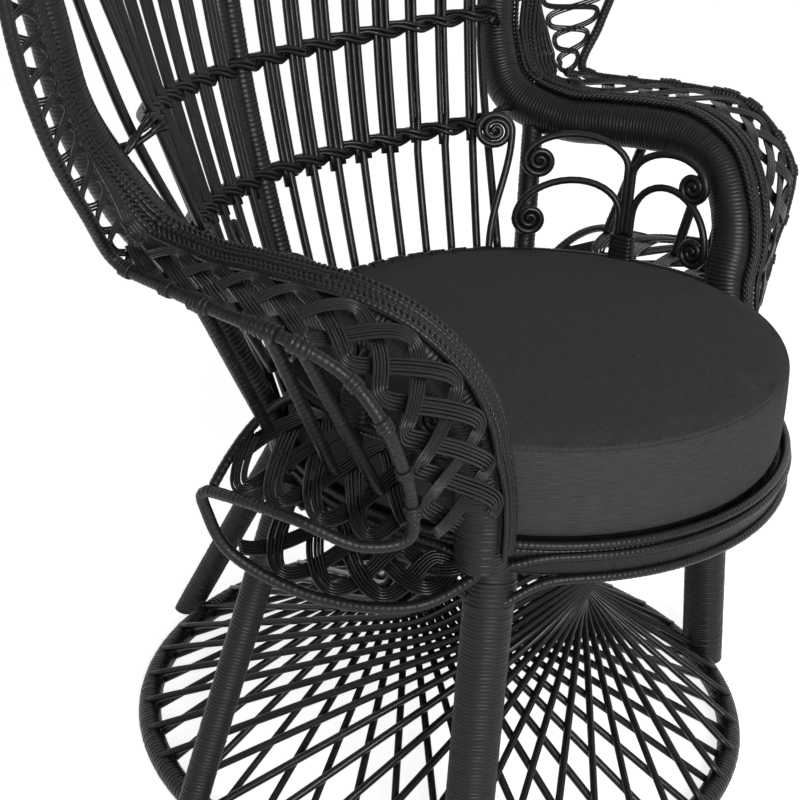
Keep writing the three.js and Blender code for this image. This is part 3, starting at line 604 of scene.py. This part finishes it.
def underSurface(u, v):
    # flat at the front, arched towards the rear
    rear = np.clip((u - underWay["flat"]) / (1 - underWay["flat"]), 0, 1)
    rise = underWay["arch"] * 4 * v * (1 - v) * rear ** 2
    return flatUnder(u, v) + rise[..., None] * np.array((0, 0, 1))


lowerRim = curve([rimTip, fromSeat(152, 105, 50), fromSeat(147, 105, 34), fromSeat(134, 90, -8),
                  fromSeat(106, 16, -42), fromSeat(64, -64, -42),
                  besideSeat(bandWay["outer"], lowerWay["end"], bandMiddle)])
bandRun = Route(besideSeat(bandWay["outer"], np.linspace(*lowerWay["bandTurn"], 80), bandMiddle))
lowerSurface = bandBetween(bandRun, lowerRim.part(*lowerWay["run"]), lowerWay["bandEdge"], rimEdge)


def makeFlares():
    surface = flareOf("arm", armRollRun, armRimRun)
    pairOf("plaitedArmFlare", plait(surface, armPlait), caneStrand, ["arm_flare"], 6)
    pairOf("plaitedUnderFlare", plait(underSurface, underPlait), caneStrand, ["arm_under_flare"], 6)
    pairOf("plaitedLowerFlare", plait(lowerSurface, underPlait), caneStrand, ["arm_lower_flare"], 6)
    strands = plait(flareOf("back", backRoll, backFacing), backPlait)
    dress(strandPiece("plaitedBackFlare", strands, 6), caneStrand, ["back_flare"])


makeFlares()
print("flares plaited")

strutWay = {"tops": ((187, -22, 232), (193, 6, 242), (184, 80, 242)), "cells": (1.5, 3.25, 6.6),
            "radius": 6.0, "pitch": 6.6, "groove": 0.06}
edgeRod = {"shift": (0, 4, 1), "radius": 4.6, "pitch": 6.4, "groove": 0.08}
rimKnot = {"first": 20, "gap": 49, "stray": 3, "length": 12, "radius": 7.6, "pitch": 4.3, "groove": 0.12}
strutKnot = {"length": 19, "radius": 8.6, "pitch": 4.6, "groove": 0.14}


def makeArmRods():
    pairOf("woundLowerRim", [wound(lowerRim, rimWinding)], woundCane, ["arm_lower_rim"], 10)
    tops = [rim.near(fromSeat(*top)) for top in strutWay["tops"]]
    for k, (top, cell) in enumerate(zip(tops, strutWay["cells"])):
        foot = underSurface(np.array((cell / underWay["cells"],)), np.array((0.5,)))[0]
        strut = Route(np.linspace(foot, rim.at(top), 40))
        pairOf(f"woundStrut{k + 1}", [wound(strut, strutWay)], woundCane, [f"arm_strut_{k + 1}"], 10)
    # the rod that edges the rear end of the under flare
    edging = Route(underSurface(np.ones(40), np.linspace(0, 1, 40)) + np.array(edgeRod["shift"]))
    pairOf("edgeRod", [wound(edging, edgeRod)], woundCane, [], 8)
    # lashings where the plait and the struts are tied to the rim
    places = np.arange(rimKnot["first"], rim.length * (rimWaist - rimFront), rimKnot["gap"])
    knots = []
    for along in places + dice.normal(0, rimKnot["stray"], len(places)):
        start = rimFront + along / rim.length
        knots.append(wound(rim.part(start, start + rimKnot["length"] / rim.length, 12), rimKnot))
    half = strutKnot["length"] / 2 / rim.length
    for top in tops:
        knots.append(wound(rim.part(top - half, top + half, 14), strutKnot))
    pairOf("rimLashings", knots, caneStrand, [], 8)


makeArmRods()
print("arm rods wound")

# seat band, hoop, posts, and the fan whose stakes are lashed to the hoop
fanWay = {
    "stakes": 8, "spread": 51, "archSpread": 84, "halfWidth": 392, "hollow": 36, "bow": 44,
    "behindHoop": 10.3, "behindBand": 15.8, "spineBehind": 8.4, "foot": 362,
    "rods": (3, 3, 3, 3, 3, 2, 2, 2), "rodRadius": 3.6, "stakeRadius": 4.7, "tails": (9, 20),
    "lastAngle": 40, "lastStake": ((690, 0.45), (780, 0.45), (880, 0.42), (970, 0.25), (1050, -0.1)),
    "levels": (218, 330, 470, 620), "crowns": (-29, -28, 10, 60), "reaches": (0.94, 0.98, 0.98, 0.98),
}
# rows of a band rod: name, offset, height, and how far it goes out and down at the front legs
bandRod = {
    "rows": (("bandTopRod", 11, 387, 0, 0), ("bandMiddleRod", 13, 377, 6, 11), ("bandLowRod", 12, 354, 14, 24)),
    "dips": (338, 202), "dipWidth": 8, "radius": 4.8, "pitch": 5.0, "groove": 0.07,
}
postWay = {"foot": (7, 34, 378), "head": (64, 192, 222), "radius": 12, "pitch": 5.2, "groove": 0.045}
hoopKnot = {"half": 1.9, "besideSpine": 0.15, "radius": 9.0, "pitch": 4.2, "groove": 0.12}
seatRing = np.linspace(0, 360, 720, endpoint=False)


def roundedProfile(name, width, height, corner):
    # section of a wide wound piece, used as a bevel shape
    line = bpy.data.curves.new(name, "CURVE")
    line.dimensions = "2D"
    spline = line.splines.new("POLY")
    points = []
    for k, (sx, sy) in enumerate(((1, 1), (-1, 1), (-1, -1), (1, -1))):
        for turn in np.radians(np.linspace(0, 90, 4) + 90 * k):
            points.append((sx * (width / 2 - corner) + corner * math.cos(turn),
                           sy * (height / 2 - corner) + corner * math.sin(turn)))
    spline.points.add(len(points) - 1)
    for spot, (x, y) in zip(spline.points, points):
        spot.co = (x / 1000, y / 1000, 0, 1)
    spline.use_cyclic_u = True
    return added(name, line)


def ringRoute(offset, height):
    line = besideSeat(offset, seatRing, height)
    return Route(np.vstack((line, line[:1])))


def makeSeat():
    height = bandWay["high"] - bandWay["low"]
    section = roundedProfile("bandSection", bandWay["thickness"], height, bandWay["corner"])
    route = ringRoute(bandWay["outer"] - bandWay["thickness"] / 2, bandMiddle)
    band = strandPiece("woundSeatBand", [wound(route, bandWay, 1, closed=True)], closed=True, profile=section)
    bpy.data.objects.remove(section)
    dress(band, woundCane, ["seat_band"])
    # thin rods above, on and below the band; the lower two dip at the front legs
    apart = [(seatRing - at + 180) % 360 - 180 for at in bandRod["dips"]]
    dip = sum(np.exp(-(turn / bandRod["dipWidth"]) ** 2) for turn in apart)
    for name, offset, height, out, down in bandRod["rows"]:
        rod = wound(ringRoute(offset + out * dip, height - down * dip), bandRod, closed=True)
        dress(strandPiece(name, [rod], 8, closed=True), woundCane, [])
    hoop = wound(hoopArc(hoopWay["end"], 180 - hoopWay["end"], 600), hoopWay)
    dress(strandPiece("woundHoop", [hoop], 10), woundCane, ["seat_hoop"])
    head = roll.at(roll.near(fromSeat(*postWay["head"])))
    post = Route(np.linspace(besideSeat(*postWay["foot"]), head, 60))
    pairOf("woundPost", [wound(post, postWay)], woundCane, ["back_post"], 16)
    # lashings where the stakes cross the hoop
    knots = []
    for k in range(fanWay["stakes"] + 1):
        step = k if k else hoopKnot["besideSpine"]
        for side in (1, -1):
            middle = 90 - side * fanWay["spread"] * step / (fanWay["stakes"] + 1)
            knots.append(wound(hoopArc(middle - hoopKnot["half"], middle + hoopKnot["half"], 10), hoopKnot))
    dress(strandPiece("hoopLashings", knots, 8), caneStrand, [])


makeSeat()
print("seat band, hoop and posts wound")

# legs, floor ring and skirt
floorRing = {"reach": 322.5, "outer": 335.0, "setback": 91.0, "height": 13.0, "radius": 12.5,
             "pitch": 5.4, "groove": 0.06}
frontLeg = {"angle": 55, "splay": -16, "bandAngle": -22, "topOffset": 5, "radius": 23.5,
            "pitch": 3.8, "groove": 0.026}
sideLeg = {"angle": 105.5, "splay": 0, "bandAngle": 33, "topOffset": 19.5, "radius": 15,
           "pitch": 3.8, "groove": 0.05}
backLeg = dict(sideLeg, angle=180, splay=11, bandAngle=90)
legCollar = {"part": (0.885, 0.955), "radius": 24.6, "pitch": 4.4, "groove": 0.05}
footHeight = 0.0002
skirtWay = {"rods": 39, "radius": 3.9, "twist": 58, "layerGap": 7.0, "topInset": 44, "topHeight": 373,
            "waistRadius": 100, "waistHeight": 176, "waistSetback": 43}


def legRoute(leg):
    reach = floorRing["outer"] + leg["radius"] + 0.3 + leg["splay"]
    turn = math.radians(leg["angle"])
    foot = np.array((reach * math.sin(turn), floorRing["setback"] - reach * math.cos(turn), 0))
    top = besideSeat(leg["topOffset"], leg["bandAngle"], bandMiddle)
    return Route(np.linspace(foot - (top - foot) * 0.08, top, 80))


def cutFlat(piece):
    work = bmesh.new()
    work.from_mesh(piece.data)
    whole = work.verts[:] + work.edges[:] + work.faces[:]
    cut = bmesh.ops.bisect_plane(work, geom=whole, dist=1e-6, plane_co=(0, 0, footHeight), plane_no=(0, 0, 1),
                                 clear_inner=True)
    loose = [e for e in cut["geom_cut"] if isinstance(e, bmesh.types.BMEdge)]
    bmesh.ops.holes_fill(work, edges=loose)
    work.to_mesh(piece.data)
    work.free()


def makeLegs():
    legs = pairOf("woundFrontLeg", [wound(legRoute(frontLeg), frontLeg)], woundLeg, ["leg_front"], 18)
    legs += pairOf("woundSideLeg", [wound(legRoute(sideLeg), sideLeg)], woundLeg, ["leg_side"], 14)
    back = strandPiece("woundBackLeg", [wound(legRoute(backLeg), backLeg)], 14)
    legs.append(dress(back, woundLeg, ["leg_back"]))
    for leg in legs:
        cutFlat(leg)
    collar = legRoute(frontLeg).part(*legCollar["part"], 60)
    pairOf("legCollar", [wound(collar, legCollar)], woundCane, [], 18)
    ring = np.radians(np.linspace(0, 360, 721))
    reach, height = floorRing["reach"], np.full_like(ring, floorRing["height"])
    line = np.stack((reach * np.cos(ring), floorRing["setback"] + reach * np.sin(ring), height), -1)
    hoop = wound(Route(line), floorRing, closed=True)
    dress(strandPiece("woundFloorRing", [hoop], 12, closed=True), woundCane, ["base_ring"])


def skirtRod(layer, rod):
    around, narrow, inset = floorRing["reach"], skirtWay["waistRadius"], skirtWay["topInset"]
    behind, level, half = skirtWay["waistSetback"], skirtWay["waistHeight"], skirtWay["twist"]
    # radius in x and y, setback, height, twist, and the tilt of the way from layer to layer
    rows = (
        (around, around, floorRing["setback"], floorRing["height"] + 4, 0, 0.63),
        (narrow, narrow, behind, level - 4, half - 3, 1.57),
        (narrow, narrow, behind, level + 4, half + 3, 1.57),
        (seat["halfWidth"] - inset, seat["halfDepth"] - inset, 0, skirtWay["topHeight"], 2 * half, 1.57),
    )
    spots = []
    for radiusX, radiusY, setback, height, twist, tilt in rows:
        turn = rod / skirtWay["rods"] * 2 * math.pi + layer * math.radians(twist)
        spot = np.array((radiusX * math.cos(turn), setback + radiusY * math.sin(turn), height))
        out = np.array((math.sin(tilt) * math.cos(turn), math.sin(tilt) * math.sin(turn), math.cos(tilt)))
        spots.append(spot + out * layer * skirtWay["layerGap"])
    ring, low, high, top = spots
    way = [ring, ring + (low - ring) * 0.35, ring + (low - ring) * 0.75, (low + high) / 2,
           high + (top - high) * 0.3, high + (top - high) * 0.65, top]
    return even(curve(way), 16), skirtWay["radius"] * (1 + dice.normal(0, 0.04))


def makeSkirt():
    for layer, name, side in ((1, "outer", "Outer"), (-1, "inner", "Inner")):
        rods = [skirtRod(layer, rod) for rod in range(skirtWay["rods"])]
        dress(strandPiece("skirt" + side, rods, 8), caneStrand, [f"skirt_{name}_{k}" for k in (1, 2, 3)])


makeLegs()
makeSkirt()
print("legs, ring and skirt placed")


def fanPoint(share, height, behind):
    share, height, behind = np.broadcast_arrays(*(np.asarray(v, float) for v in (share, height, behind)))
    side = np.where(share < 0, -1.0, 1.0)
    angle = 90 - fanWay["spread"] * np.abs(share)
    middle = 1 - share ** 2
    offset = hoopWay["offset"] + fanWay["behindHoop"] + behind + fanWay["hollow"] * middle
    foot = besideSeat(offset, angle, hoopWay["height"])
    top = archPoint(90 - fanWay["archSpread"] * np.abs(share), fanWay["halfWidth"])
    top[..., 1] += behind
    rise = (height - hoopWay["height"]) / (top[..., 2] - hoopWay["height"])
    upper = foot + (top - foot) * rise[..., None]
    upper[..., 1] += fanWay["bow"] * middle * 4 * rise * (1 - rise)
    band = besideSeat(fanWay["behindBand"] + behind, angle, bandWay["low"])
    fall = (hoopWay["height"] - height) / (hoopWay["height"] - bandWay["low"])
    lower = foot + (band - foot) * fall[..., None]
    point = np.where((height < hoopWay["height"])[..., None], lower, upper)
    point[..., 0] *= side
    return point


def fanTop(share):
    return archPoint(90 - fanWay["archSpread"] * np.abs(share))[..., 2]


def weaveLevel(k, share):
    return seat["deck"] + fanWay["levels"][k] + fanWay["crowns"][k] * (1 - np.asarray(share) ** 2)


def makeFan():
    strands = []
    for k, count in enumerate(fanWay["rods"]):
        share = (k + 1) / (fanWay["stakes"] + 1)
        tied = float(weaveLevel(0, share))
        for rod in range(count):
            off = (rod - (count - 1) / 2) * 2 * fanWay["rodRadius"]
            main = rod == count // 2
            start = fanWay["foot"] if main else tied - dice.uniform(*fanWay["tails"])
            heights = np.linspace(start, float(fanTop(share)), 46)
            aside = fanPoint(share + 0.01, heights, 0) - fanPoint(share - 0.01, heights, 0)
            opened = off * np.clip((heights - tied + 12) / 24, 0 if main else 1, 1)
            line = fanPoint(share, heights, 0) + unit(aside * (1, 1, 0)) * opened[:, None]
            radius = fanWay["rodRadius"]
            if main:
                radius = np.where(heights < tied, fanWay["stakeRadius"], radius)
            strands.append((line, radius))
    # the last stake of a side keeps close to the roll
    side = backRoll.line[:len(backRoll.line) // 2]
    last = fanWay["stakes"] / (fanWay["stakes"] + 1)
    spots = [besideSeat(hoopWay["offset"] + fanWay["behindHoop"], fanWay["lastAngle"], hoopWay["height"])]
    for height, part in fanWay["lastStake"]:
        onRoll = side[np.argmin(np.abs(side[:, 2] - height))]
        inward = fanPoint(last, height, 0) - onRoll
        away = np.linalg.norm(inward)
        reach = rollWinding["radius"] + part * max(away - rollWinding["radius"], 0)
        spots.append(onRoll + inward * reach / away)
    strands.append((even(curve(spots), 14), fanWay["stakeRadius"]))
    pairOf("stakes", strands, caneStrand, ["back_stakes"], 8)
    levels = [float(weaveLevel(k, 0)) for k in range(len(fanWay["levels"]))]
    heights = [bandWay["high"], hoopWay["height"], *levels, float(fanTop(0))]
    spine = curve([fanPoint(0, height, fanWay["spineBehind"]) for height in heights])
    dress(strandPiece("woundSpine", [wound(spine, postWay)], 14), woundCane, ["back_spine"])


weaveCord = {"strands": 2, "gauge": 5.3, "swing": 6.4, "twist": 4.8}
weaveCore = {"behind": 9.6, "radius": 6.2, "pitch": 5.0, "groove": 0.1}


def makeWeaves():
    for k, reach in enumerate(fanWay["reaches"]):
        share = np.linspace(-reach, reach, 260)
        turn = share * (fanWay["stakes"] + 1) * np.pi
        strands = []
        for cord in (1, -1):
            for strand in range(weaveCord["strands"]):
                lift = (strand - (weaveCord["strands"] - 1) / 2) * weaveCord["gauge"]
                height = weaveLevel(k, share) + lift * (0.6 + 0.4 * np.abs(np.cos(turn)))
                height = height + cord * weaveCord["twist"] * np.sin(turn)
                line = fanPoint(share, height, cord * weaveCord["swing"] * np.cos(turn))
                # the ends run on into the roll, twisted together
                tails = []
                for i in (0, -1):
                    middle = fanPoint(share[i], weaveLevel(k, share[i]), 0.0)
                    goal, t = roll.at(roll.near(middle)), np.linspace(0, 1, 16)[1:, None]
                    sweep = cord * math.pi / 2 + strand * 0.9 + 7 * t
                    ring = np.hstack((0 * t, np.cos(sweep), np.sin(sweep))) * weaveCord["gauge"] * 0.75
                    ease = np.minimum(t * 3, 1)
                    tails.append(line[i] + (middle + ring - line[i]) * ease + (goal - middle) * t)
                line = np.vstack((tails[0][::-1], line, tails[1]))
                strands.append((line, weaveCord["gauge"] / 2))
        core = Route(fanPoint(share, weaveLevel(k, share), weaveCore["behind"]))
        strands.append(wound(core, weaveCore))
        dress(strandPiece(f"twinedWeave{k + 1}", strands, 6), caneStrand, [f"back_weave_{k + 1}"])


makeFan()
makeWeaves()
print("fan of the back woven")

# scrolled rods
# rows of rear and front: stem and coil along the wall, height of the coil above the deck, height of its arch
scrollWay = {"rear": ((3, 100, 188, 32), (7, 107, 122, 40)), "front": ((-3, -74, 182, 30), (-7, -84, 112, 50)),
             "radius": 4.1, "eye": 3.0, "coil": 16.6, "turns": 2.4, "steps": 26, "lay": 1.96,
             "stemRise": 20, "lean": 0.08}
backScroll = {"up": 212, "angle": 41, "lean": 0.32, "sway": 24}
tieWay = {"angle": 9.5, "top": 503.0, "width": 16, "length": 28, "corner": 5, "pitch": 4.6, "groove": 0.06}


def onWall(along, up, angle, lean):
    wall = (seat["halfWidth"] + seat["halfDepth"]) / 2 + hoopWay["offset"]
    offset = hoopWay["offset"] + lean * (up - hoopWay["height"])
    return besideSeat(offset, angle + np.degrees(along / wall), up)


def scrollRod(stem, foot, along, up, archHeight, angle, lean, sway=0):
    facing = 1 if along > stem else -1
    far = along + facing * scrollWay["coil"]
    base = max(up, foot + scrollWay["stemRise"])
    points = []
    for t in np.linspace(0, 1, 14, endpoint=False):
        points.append((stem + sway * (1 + math.cos(math.pi * t)) / 2, foot + (base - foot) * t))
    for turn in np.linspace(0, math.pi, 18, endpoint=False):
        share = (1 - math.cos(turn)) / 2
        points.append((stem + (far - stem) * share, base + (up - base) * share + archHeight * math.sin(turn)))
    # the rod thins towards its eye, and each turn lies against the last
    steps = int(scrollWay["turns"] * scrollWay["steps"])
    thickness = np.linspace(scrollWay["radius"], scrollWay["eye"], steps + 1)
    radius = scrollWay["coil"]
    for i in range(steps + 1):
        turn = i / scrollWay["steps"] * 2 * math.pi
        points.append((along + facing * radius * math.cos(turn), up - radius * math.sin(turn)))
        radius -= scrollWay["lay"] * thickness[i] / scrollWay["steps"]
    spots = np.array(points)
    radii = np.concatenate((np.full(len(spots) - len(thickness), scrollWay["radius"]), thickness))
    return onWall(spots[:, 0], spots[:, 1], angle, lean), radii


def makeScrolls():
    for name in ("rear", "front"):
        rods = []
        for stem, along, up, arch in scrollWay[name]:
            rods.append(scrollRod(stem, tieWay["top"], along, seat["deck"] + up, arch, tieWay["angle"],
                                  scrollWay["lean"]))
        pairOf(name + "Scrolls", rods, caneStrand, ["scroll_" + name], 10)
    coil = scrollWay["coil"]
    back = scrollRod(-coil, hoopWay["height"], 0, seat["deck"] + backScroll["up"], coil, backScroll["angle"],
                     backScroll["lean"], backScroll["sway"])
    pairOf("backScroll", [back], caneStrand, ["back_scroll"], 10)
    section = roundedProfile("tieSection", tieWay["width"], tieWay["length"], tieWay["corner"])
    foot = onWall(0, hoopWay["height"], tieWay["angle"], 0)
    line = np.linspace(foot, foot + (0, 0, tieWay["top"] - hoopWay["height"]), 40)
    for name, spots in (("Left", line), ("Right", flipped(line))):
        tie = strandPiece("woundTie" + name, [wound(Route(spots), tieWay, 1)], profile=section)
        dress(tie, woundCane, ["scroll_tie_" + name.lower()])
    bpy.data.objects.remove(section)


makeScrolls()
print("scrolls coiled")

# cushion
cushionWay = {"radius": 256.5, "seamHeight": 87.0, "height": 99.0, "bulge": 0.6, "steps": 180, "groove": 4.0,
              "lowest": 0.0006, "armGap": 0.0262}
cushionCloth = {"quality": 5, "mass": 0.3, "stretch": 30, "shear": 10, "bend": 20, "pressure": 4.0,
                "frames": 20, "cap": 0.004}


def cushionProfile():
    radius, seam, bulge = cushionWay["radius"], cushionWay["seamHeight"], cushionWay["bulge"]
    spots = [(r, 0.6) for r in np.linspace(0, radius - 8, 30)]
    spots += [(radius - 4, 1.4), (radius - 1.6, 3.6), (radius - 0.6, 8)]
    spots += [(radius + bulge * math.sin(math.pi * t), 9 + (seam - 14) * t) for t in np.linspace(0.08, 1, 14)]
    spots += [(radius - 0.2, seam - 3.2), (radius - 0.5, seam - 1.8), (radius - 1.2, seam - 0.9)]
    spots += [(radius - cushionWay["groove"], seam), (radius - 1.7, seam + 1.3), (radius - 2.3, seam + 2.2)]
    spots.append((radius - 4.2, seam + 3.3))
    for r in np.linspace(radius - 9, 0, 40):
        dome = 1 - (r / (radius - 4.2)) ** 2.4
        spots.append((r, seam + 3.3 + (cushionWay["height"] - seam - 3.3) * dome))
    return spots


def makeCushion():
    # rings of the profile, with a fan of faces at the middle of base and top
    profile, steps = np.array(cushionProfile()) / 1000, cushionWay["steps"]
    turn = np.arange(steps) * 2 * np.pi / steps
    ring = np.stack((np.cos(turn), np.sin(turn) * seat["halfDepth"] / seat["halfWidth"]), -1)
    spots = [(0, 0, profile[0, 1])]
    for r, z in profile[1:-1]:
        spots += [(r * x, r * y, z) for x, y in ring]
    spots.append((0, 0, profile[-1, 1]))
    topRing = steps * (len(profile) - 3)
    faces = []
    for k in range(steps):
        a, b = 1 + k, 1 + (k + 1) % steps
        faces += [(0, b, a), (a + topRing, b + topRing, len(spots) - 1)]
        faces += [(a + i, b + i, b + i + steps, a + i + steps) for i in range(0, topRing, steps)]
    mesh = bpy.data.meshes.new("seatCushion")
    mesh.from_pydata((np.array(spots) + (*seatMiddle[:2], cushionLow.z)).tolist(), [], faces)
    for polygon in mesh.polygons:
        polygon.use_smooth = True
    return added("seatCushion", mesh)


def coordsOf(mesh):
    spots = np.empty(len(mesh.vertices) * 3)
    mesh.vertices.foreach_get("co", spots)
    return spots.reshape(-1, 3)


def fillCushion(cushion):
    # pressure swells the cover, and the base stays flat
    start = coordsOf(cushion.data)
    seam = cushionLow.z + cushionWay["seamHeight"] / 1000
    squash = seat["halfWidth"] / seat["halfDepth"]
    across = np.hypot(start[:, 0], (start[:, 1] - seatMiddle[1]) * squash) * 1000
    base = cushion.vertex_groups.new(name="base")
    base.add([int(k) for k in np.flatnonzero(start[:, 2] < cushionLow.z + 0.001)], 1.0, "REPLACE")
    fill = cushion.modifiers.new("fill", "CLOTH")
    cloth = fill.settings
    cloth.quality = cushionCloth["quality"]
    cloth.mass = cushionCloth["mass"]
    cloth.tension_stiffness = cloth.compression_stiffness = cushionCloth["stretch"]
    cloth.shear_stiffness = cushionCloth["shear"]
    cloth.bending_stiffness = cushionCloth["bend"]
    cloth.use_pressure = True
    cloth.uniform_pressure_force = cushionCloth["pressure"]
    cloth.effector_weights.gravity = 0
    cloth.vertex_group_mass = "base"
    fill.collision_settings.use_collision = False
    fill.point_cache.frame_start = 1
    fill.point_cache.frame_end = cushionCloth["frames"]
    for step in range(1, cushionCloth["frames"] + 1):
        scene.frame_set(step)
    filled = bpy.data.meshes.new_from_object(cushion.evaluated_get(bpy.context.evaluated_depsgraph_get()))
    move = coordsOf(filled) - start
    bpy.data.meshes.remove(filled)
    cushion.modifiers.remove(fill)
    scene.frame_set(1)
    # the seam keeps its shape and moves with the edge of the side strip below it
    turn = np.arctan2(start[:, 1] - seatMiddle[1], start[:, 0])
    nearSeam = (across > cushionWay["radius"] - 6) & (np.abs(start[:, 2] - seam) < 0.0036)
    edge = nearSeam & (start[:, 2] < seam - 0.003)
    byTurn = np.argsort(turn[edge])
    for axis in range(3):
        move[nearSeam, axis] = np.interp(turn[nearSeam], turn[edge][byTurn], move[edge, axis][byTurn])
    far = np.linalg.norm(move, axis=1, keepdims=True)
    print("cushion swells by up to", round(float(far.max()) * 1000, 1), "mm")
    return start + move * np.minimum(1, cushionCloth["cap"] / np.maximum(far, 1e-9))


def seatCushion():
    cushion = makeCushion()
    panelUv(cushion)
    spots = fillCushion(cushion)
    spots[:, 2] = np.maximum(spots[:, 2], cushionLow.z + cushionWay["lowest"])
    # the cover gives way where the foot of an arm presses it
    for line in (armRoll.line, flipped(armRoll.line)):
        place = toFrame(line[:300])
        for k in np.flatnonzero(np.hypot(spots[:, 0], spots[:, 1] - seatMiddle[1]) > 0.2):
            gap = spots[k] - place[np.argmin(((place - spots[k]) ** 2).sum(1))]
            far = np.linalg.norm(gap)
            if far < cushionWay["armGap"]:
                spots[k] += gap / far * (cushionWay["armGap"] - far)
    cushion.data.vertices.foreach_set("co", spots.ravel())
    cushion.data.update()
    soft = cushion.modifiers.new("soft", "SUBSURF")
    soft.levels = soft.render_levels = 1
    return cushion


canvasLook = {"dark": (0.0205, 0.0205, 0.0208), "light": (0.055, 0.055, 0.0558), "rough": 0.92,
              "specular": 0.03, "sheen": 0.03, "sheenRough": 0.5, "thread": 0.0015, "slub": (60, 900, 1),
              "bump": 0.5}


def makeCanvas():
    material, tree, shader = shaderOf("charcoalCanvas", canvasLook["dark"], canvasLook["rough"],
                                      canvasLook["specular"])
    spot = nodeOn(tree, "TexCoord", {}).outputs["UV"]
    waves = []
    for turn in (0, math.pi / 2):
        place = nodeOn(tree, "Mapping", {"Vector": spot, "Rotation": (0, 0, turn)}).outputs["Vector"]
        wave = {"Vector": place, "Scale": 0.314 / canvasLook["thread"], "Distortion": 0.6, "Detail Scale": 2.0}
        waves.append(nodeOn(tree, "TexWave", wave).outputs["Fac"])
    slub = noiseOn(tree, spot, canvasLook["slub"], 1.0, 3)
    both = mathOn(tree, "MULTIPLY_ADD", mathOn(tree, "MULTIPLY", *waves), 0.6, slub)
    stops = ((0.30, canvasLook["dark"]), (0.95, canvasLook["light"]))
    feed(tree, shader, {"Base Color": rampOn(tree, both, stops),
                        "Normal": bumpOn(tree, both, canvasLook["bump"]),
                        "Sheen Weight": canvasLook["sheen"], "Sheen Roughness": canvasLook["sheenRough"]})
    return material


def panelUv(cushion):
    # the top and base are cut flat, the side is a strip that runs round
    mesh = cushion.data
    layer = mesh.uv_layers.new(name="panels")
    seam = cushionLow.z + cushionWay["seamHeight"] / 1000
    for polygon in mesh.polygons:
        centre = polygon.center
        side = abs(polygon.normal.z) < 0.55 and centre.z < seam
        start = math.atan2(centre.y - seatMiddle[1], centre.x)
        for loop in polygon.loop_indices:
            co = mesh.vertices[mesh.loops[loop].vertex_index].co
            if side:
                turn = math.atan2(co.y - seatMiddle[1], co.x)
                turn = start + (turn - start + math.pi) % (2 * math.pi) - math.pi
                layer.data[loop].uv = (turn * cushionWay["radius"] / 1000, co.z)
            else:
                layer.data[loop].uv = (co.x, co.y)


cushion = seatCushion()
dress(cushion, makeCanvas(), ["cushion"], "cushion")
print("cushion sewn")
paint(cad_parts["seat_deck"], caneStrand)

studio = {"world": 0.15, "key": 145, "fill": 10, "top": 3, "floor": (0.86, 0.86, 0.86), "floorGlow": 0.8,
          "white": (1, 1, 1, 1)}


def seenPlain(tree):
    # one for what the camera sees, also in gloss and through glass
    path = nodeOn(tree, "LightPath", {})
    seen = path.outputs["Is Camera Ray"]
    for ray in ("Is Glossy Ray", "Is Transmission Ray"):
        seen = mathOn(tree, "MAXIMUM", seen, path.outputs[ray])
    return seen


def makeStudio():
    world = bpy.data.worlds.new("studio")
    scene.world = world
    world.use_nodes = True
    tree = world.node_tree
    plain = tree.nodes["Background"]
    feed(tree, plain, {"Color": studio["white"], "Strength": studio["world"]})
    bright = nodeOn(tree, "Background", {"Color": studio["white"], "Strength": 1.0})
    mixed = nodeOn(tree, "MixShader", {"Fac": seenPlain(tree), 1: plain.outputs[0], 2: bright.outputs[0]})
    feed(tree, tree.nodes["World Output"], {"Surface": mixed.outputs[0]})
    for name, place, aim, size, power in (
        ("keyLamp", (-2.3, -2.5, 1.75), (0, -0.1, 0.55), 1.6, studio["key"]),
        ("fillLamp", (2.6, -1.2, 2.4), (0, 0, 0.6), 2.4, studio["fill"]),
        ("topLamp", (0.2, 0.3, 3.6), (0, 0, 0.5), 2.6, studio["top"]),
    ):
        lamp = bpy.data.lights.new(name, "AREA")
        lamp.size = size
        lamp.energy = power
        holder = added(name, lamp)
        holder.location = place
        holder.rotation_euler = (Vector(place) - Vector(aim)).to_track_quat("Z", "Y").to_euler()
    work = bmesh.new()
    bmesh.ops.create_grid(work, x_segments=1, y_segments=1, size=6)
    mesh = bpy.data.meshes.new("paleFloor")
    work.to_mesh(mesh)
    work.free()
    floor = added("paleFloor", mesh)
    material, tree, shader = shaderOf("paleFloor", studio["floor"], 0.9, 0.1)
    seen = mathOn(tree, "MULTIPLY", seenPlain(tree), studio["floorGlow"])
    glow = nodeOn(tree, "Emission", {"Color": studio["white"], "Strength": seen})
    both = nodeOn(tree, "AddShader", {0: shader.outputs[0], 1: glow.outputs[0]})
    feed(tree, tree.nodes["Material Output"], {"Surface": both.outputs[0]})
    mesh.materials.append(material)


makeStudio()
print("studio lit")
